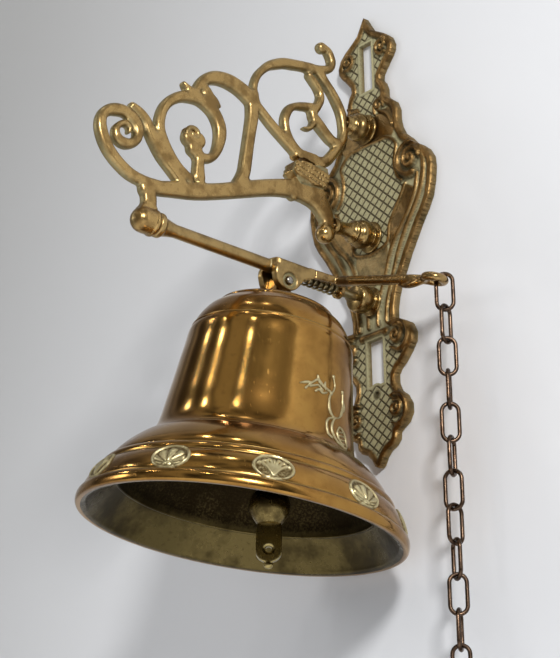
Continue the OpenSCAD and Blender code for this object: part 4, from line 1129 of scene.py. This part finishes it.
def sprig_relief(u, v):
    """Raised stems, buds and leaves."""
    turns = SPRIG_MIDDLE[0] + u * SPRIG_HALF[0]
    depth = SPRIG_MIDDLE[1] + v * SPRIG_HALF[1]
    at = np.stack([turns * WAIST_ARC, depth], 1)
    crest = np.zeros(len(at))
    for stem in SPRIG:
        line = smooth_line([(a * WAIST_ARC, d, w) for a, d, w in stem], 5)
        ratio, _ = nearest(at, *segments(line), line[:, 2])
        crest = np.maximum(crest, np.sqrt(np.clip(1.2 - ratio ** 2, 0, 1)))
    return np.where(crest > 0, 0.05 + 0.55 * crest, -0.3), np.clip(0.75 - crest * 0.6, 0, 1)


class BELL_OT_bell(bpy.types.Operator):
    """Turn the bell with its beads, and lay the cast ornament on it"""
    bl_idname = "bell.bell"
    bl_label = "Bell"

    def execute(self, context):
        outer = smooth_line(BELL_OUTSIDE, 3)
        inner = smooth_line(BELL_INSIDE, 3)
        bm = lathe([(r, -CROWN_DROP - d) for r, d in np.vstack([outer, inner])], 192, closed=True)
        # What lies deeper than this under the outside is the inside
        skin = 1.3

        def under_skin(radius, depth):
            return radius < np.interp(depth, outer[:, 1], outer[:, 0]) - skin

        for f in bm.faces:
            c = f.calc_center_median()
            radius, depth = c.xy.length, -CROWN_DROP - c.z
            on_lip = depth > 116.4 and radius < 74.2
            f.material_index = int(on_lip or (under_skin(radius, depth) and depth > 0.3))
        co = places(bm)
        depths = -CROWN_DROP - co[:, 2]
        dirty = sum(0.7 * np.exp(-((depths - c) / 0.4) ** 2) for c in CREASES)
        deep = under_skin(np.hypot(co[:, 0], co[:, 1]), depths)
        # Inside the bell the hollow value is painted shade, dark up in the bell and fading out at
        # depths of 98 to 103 mm, above the lip; outside it is grime in the creases
        mark(bm, "hollow", np.where(deep, 0.9 * (1 - step(depths, 98, 103)), dirty))
        piece("bell_turned", move(bm, ON_BELL), "bell",
              ["bell_brass_polished", "bell_brass_inside"], ["bell_shell"],
              sharp=50)
        count = sizes().medallions
        medallions = [ornament((84, 54), (6.9 + 360 * k / count, 106.0), (8.1, -7.0),
                               (shell_relief, palmette_relief)[k % 2]) for k in range(count)]
        sprigs = [ornament((150, 132), (about + SPRIG_MIDDLE[0], SPRIG_MIDDLE[1]), SPRIG_HALF,
                           sprig_relief) for about in (0.0, 180.0)]
        for name, parts in (("bell_medallions", medallions), ("bell_sprigs", sprigs)):
            piece(name, move(joined(*parts), ON_BELL), "bell", ["ornament_brass"], [],
                  sharp=60)
        return {"FINISHED"}


class BELL_OT_clapper(bpy.types.Operator):
    """Make the clapper's bulb and its flat tongue"""
    bl_idname = "bell.clapper"
    bl_label = "Clapper"

    def execute(self, context):
        on_ball = ON_STEM @ shift(0, 0, -CLAPPER_LEN)
        ball = 9.8
        bulb = [(0, ball)]
        bulb += [(ball * math.cos(a), ball * math.sin(a))
                 for a in np.radians(np.arange(75, -31, -7.5))]
        bulb += [(8.3, -5.4), (7.5, -6.7), (6.6, -7.9), (5.9, -8.7), (5.2, -9.1), (4.0, -9.4),
                 (0, -9.5)]
        piece("clapper_bulb", move(lathe(bulb, 72), on_ball), "clapper", ["clapper_brass"],
              ["clapper_ball"], sharp=45)
        rod = smoothed(remeshed(cad_copy("clapper_rod"), 0.3), 2)
        # The tongue widens and runs out below the ball
        on_tongue = on_ball @ turn("Z", -40)
        move(rod, on_tongue.inverted())
        for v in rod.verts:
            part = float(step(-v.co.z, 5.0, 13.0))
            v.co.y *= 1 + 0.16 * part
            v.co.z -= 1.6 * part
        piece("clapper_tongue", move(rod, on_tongue), "clapper", ["clapper_tongue_brass"],
              ["clapper_rod"], sharp=60)
        return {"FINISHED"}


class BELL_OT_chain(bpy.types.Operator):
    """Bend the chain's links and the pull ring from round wire"""
    bl_idname = "bell.chain"
    bl_label = "Chain"

    def execute(self, context):
        wire, length, width, gap = 2.0, 20.4, 10.0, 0.15
        bend = (width - wire) / 2
        straight = length - width
        pitch = length - 2 * wire - gap
        first = length / 2 - wire / 2 - (ARM_EYE_WIRE + wire) / 2 - gap
        line = []
        for end in (1, -1):
            for a in np.radians(np.linspace(0, 180, 15)):
                line.append((end * bend * math.cos(a), 0,
                             end * (straight / 2 + bend * math.sin(a))))
        for k, yaw in enumerate(LINK_YAW):
            drop = -first - k * pitch
            link = self.hung(tube(line, wire / 2, cyclic=True, sides=5), drop, yaw)
            node = "chain_link_%d" % (k + 1)
            piece(node + "_wire", link, "link_%d" % (k + 1), ["chain_wire_browned"], [node])
        radius, thick = 15.0, 2.0
        circle = [(radius * math.cos(a), 0, radius * math.sin(a))
                  for a in np.linspace(0, TURN, 72, endpoint=False)]
        drop += -length / 2 + wire / 2 + (wire + 2 * thick) / 2 + gap - radius
        ring = self.hung(tube(circle, thick, cyclic=True, sides=6), drop, LINK_YAW[-1] + 90)
        piece("pull_ring_wire", ring, "ring", ["chain_wire_browned"], ["pull_ring"])
        return {"FINISHED"}

    def hung(self, bm, drop, yaw):
        """A link or the ring in its place below the arm's eye."""
        return move(bm, Matrix.Translation(FIRST_LINK) @ shift(0, 0, drop) @ turn("Z", yaw))


class BELL_OT_hardware(bpy.types.Operator):
    """Finish the screws, pins, washers and other small parts that keep their own shape"""
    bl_idname = "bell.hardware"
    bl_label = "Hardware"

    def execute(self, context):
        finishes = {
            "dull_steel": ("upper_fixing_screw", "lower_fixing_screw", "bearing_fixing_screw",
                           "bell_pin", "crown_nut", "clapper_pin"),
            "spring_wire_dull": ("axle_journal",),
            "dark_brass_worn": ("spring_collar", "bell_pin_washer", "crown_lug", "crown_washer"),
        }
        for finish, nodes in finishes.items():
            for node in nodes:
                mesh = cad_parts[node].data
                mesh.materials.clear()
                mesh.materials.append(metal(finish))
        return {"FINISHED"}


# The camera's axes and its place, in metres, and the lens for a picture 560 by 658 pixels
CAMERA_RIGHT = (0.63905, 0.76901, -0.01547)
CAMERA_UP = (0.26570, -0.20184, 0.94269)
CAMERA_BACK = (0.72182, -0.60653, -0.33331)
CAMERA_AT = (0.7024, -0.6559, -0.3897)
FOCAL_PIXELS = 2000
PICTURE_HEIGHT = 658
SENSOR = 36

# Lamps: place, what they face, size and power
LAMPS = {
    "key": ((1.60, -1.10, 0.50), (0, -0.06, -0.05), 0.30, 30.0),
    "fill": ((-1.2, -1.5, 0.5), (0, -0.06, -0.05), 0.5, 4.0),
    "spot_left": ((-1.05, -1.0, 1.10), (0, -0.06, 0), 0.07, 1.0),
    "spot_front": ((-0.45, -1.35, 1.15), (0, -0.06, 0), 0.07, 1.0),
    "spot_right": ((0.65, -1.25, 1.10), (0, -0.06, 0), 0.07, 0.9),
    "spot_above": ((-0.15, -0.55, 1.75), (0, -0.06, 0), 0.08, 1.2),
    "spot_top": ((0.35, -0.35, 1.80), (0, -0.06, 0), 0.08, 1.0),
}
# Half outline of the bent card, as (radius, height)
CARD = ((2.4, -0.9), (2.4, 0.2), (2.35, 1.0), (2.0, 1.8), (1.4, 2.3), (0.7, 2.55), (0.02, 2.6))
# The wall's lit side, and the surroundings where they are seen
PALE = (0.80, 0.81, 0.83, 1)


class BELL_OT_stage(bpy.types.Operator):
    """Set the pale wall and floor, the soft lights and the camera"""
    bl_idname = "bell.stage"
    bl_label = "Stage"

    def execute(self, context):
        self.camera(context.scene)
        for name, at, facing, size, material in (
                ("wall", (0, 0.0004, 0), turn("X", 90), 3.0, self.wall()),
                ("floor", (0, 0, -0.95), Matrix.Identity(4), 14.0, self.floor())):
            bm = bmesh.new()
            bmesh.ops.create_grid(bm, x_segments=1, y_segments=1, size=size)
            self.place(name, move(bm, Matrix.Translation(at) @ facing), material)
        bm = bmesh.new()
        arch = [bm.verts.new((-r, -0.05, z)) for r, z in CARD]
        edges = [bm.edges.new(pair) for pair in zip(arch, arch[1:])]
        bmesh.ops.spin(bm, geom=arch + edges, cent=(0, -0.05, 0), axis=(0, 0, 1),
                       angle=math.pi, steps=32, use_merge=False)
        card = self.place("room_card", bm, self.card())
        card.visible_camera = card.visible_diffuse = False
        card.visible_transmission = card.visible_shadow = False
        for name, (at, aim, size, power) in LAMPS.items():
            lamp = bpy.data.lights.new(name, "AREA")
            lamp.shape = "DISK"
            lamp.size = size
            lamp.energy = power
            facing = (Vector(aim) - Vector(at)).to_track_quat("-Z", "Y").to_matrix().to_4x4()
            show(name, lamp).matrix_world = Matrix.Translation(at) @ facing
        self.sky(context.scene)
        context.scene.view_settings.view_transform = "Standard"
        return {"FINISHED"}

    def camera(self, scene):
        data = bpy.data.cameras.new("camera")
        data.lens = FOCAL_PIXELS * SENSOR / PICTURE_HEIGHT
        data.sensor_width = SENSOR
        data.clip_start, data.clip_end = 0.05, 30
        axes = Matrix((CAMERA_RIGHT, CAMERA_UP, CAMERA_BACK)).transposed().to_4x4()
        scene.camera = show("camera", data)
        scene.camera.matrix_world = Matrix.Translation(CAMERA_AT) @ axes

    def place(self, name, bm, material):
        mesh = as_mesh(name, bm)
        mesh.materials.append(material)
        obj = show(name, mesh)
        return obj

    def wall(self):
        """A pale matt wall with painted shade that darkens it towards its left and its top. It
        lets light through to what touches it.
        """
        m, t = blank_material("wall")
        at = add(t, "ShaderNodeSeparateXYZ")
        put(t, add(t, "ShaderNodeTexCoord").outputs["Object"], at.inputs[0])
        shade_slant = maths(t, "SUBTRACT", maths(t, "MULTIPLY", at.outputs["X"], 0.74),
                      maths(t, "MULTIPLY", at.outputs["Z"], 0.54))
        matt = add(t, "ShaderNodeBsdfDiffuse")
        # The painted shade: 0.42 grey at the left and top, pale at the right
        put(t, blend(t, span(t, shade_slant, -0.48, 0.14), (0.42, 0.42, 0.415, 1), PALE),
            matt.inputs["Color"])
        near = maths(t, "LESS_THAN", add(t, "ShaderNodeLightPath").outputs["Ray Length"], 0.002)
        self.unseen_from_behind(t, matt.outputs[0], near)
        return m

    def floor(self):
        """A pale matt floor that stays pale far from the lamps."""
        m, t = blank_material("floor")
        matt = add(t, "ShaderNodeBsdfDiffuse")
        matt.inputs["Color"].default_value = (0.78, 0.78, 0.79, 1)
        glow = add(t, "ShaderNodeEmission")
        glow.inputs["Color"].default_value = (0.36, 0.36, 0.365, 1)
        put(t, seen_directly(t), glow.inputs["Strength"])
        both = add(t, "ShaderNodeAddShader")
        put(t, matt.outputs[0], both.inputs[0])
        put(t, glow.outputs[0], both.inputs[1])
        self.unseen_from_behind(t, both.outputs[0], 0.0)
        return m

    def unseen_from_behind(self, t, surface, clear_too):
        """Let through what comes from behind, and the rays that clear_too picks."""
        behind = add(t, "ShaderNodeNewGeometry").outputs["Backfacing"]
        mix = add(t, "ShaderNodeMixShader")
        put(t, maths(t, "MAXIMUM", behind, clear_too), mix.inputs[0])
        put(t, surface, mix.inputs[1])
        put(t, add(t, "ShaderNodeBsdfTransparent").outputs[0], mix.inputs[2])
        put(t, mix.outputs[0], add(t, "ShaderNodeOutputMaterial").inputs["Surface"])

    def card(self):
        """A bent studio card with dark and light patches, which only the metal reflects."""
        m, t = blank_material("room_card")
        stretched = add(t, "ShaderNodeMapping")
        stretched.inputs["Scale"].default_value = (1.5, 1.5, 0.45)
        put(t, add(t, "ShaderNodeTexCoord").outputs["Object"], stretched.inputs["Vector"])
        patches = span(t, noise(t, stretched.outputs[0], 1.0, 2.0, 0.45), 0.38, 0.66)
        light = add(t, "ShaderNodeEmission")
        put(t, blend(t, patches, (0.045, 0.04, 0.035, 1), (0.44, 0.42, 0.38, 1)),
            light.inputs["Color"])
        put(t, light.outputs[0], add(t, "ShaderNodeOutputMaterial").inputs["Surface"])
        return m

    def sky(self, scene):
        """A pale surrounding that lights the bell softly."""
        scene.world = bpy.data.worlds.new("room")
        scene.world.use_nodes = True
        t = scene.world.node_tree
        t.nodes.clear()
        light = add(t, "ShaderNodeBackground")
        put(t, blend(t, seen_directly(t), (0.40, 0.40, 0.40, 1), PALE), light.inputs["Color"])
        put(t, light.outputs[0], add(t, "ShaderNodeOutputWorld").inputs["Surface"])


OPERATORS = (BELL_OT_stage, BELL_OT_plate, BELL_OT_bracket, BELL_OT_knobs, BELL_OT_rocker,
             BELL_OT_arm, BELL_OT_spring, BELL_OT_bell, BELL_OT_clapper, BELL_OT_chain,
             BELL_OT_hardware)


class BELL_PT_panel(bpy.types.Panel):
    """Lists the bell's pieces and its sizes and colours"""
    bl_idname = "BELL_PT_panel"
    bl_label = "Wall bell"
    bl_space_type = "VIEW_3D"
    bl_region_type = "UI"
    bl_category = "Wall bell"

    def draw(self, context):
        for owner in (context.scene.bell_sizes, context.scene.bell_colours):
            for key in owner.__annotations__:
                self.layout.prop(owner, key)
        for operator in OPERATORS:
            self.layout.operator(operator.bl_idname)


CLASSES = (BellSizes, BellColours) + OPERATORS + (BELL_PT_panel,)


def register():
    for c in CLASSES:
        bpy.utils.register_class(c)
    bpy.types.Scene.bell_sizes = bpy.props.PointerProperty(type=BellSizes)
    bpy.types.Scene.bell_colours = bpy.props.PointerProperty(type=BellColours)


def unregister():
    del bpy.types.Scene.bell_sizes
    del bpy.types.Scene.bell_colours
    for c in reversed(CLASSES):
        bpy.utils.unregister_class(c)


def main():
    register()
    for operator in OPERATORS:
        getattr(bpy.ops.bell, operator.bl_idname.split(".")[1])()


if __name__ == "__main__":
    main()
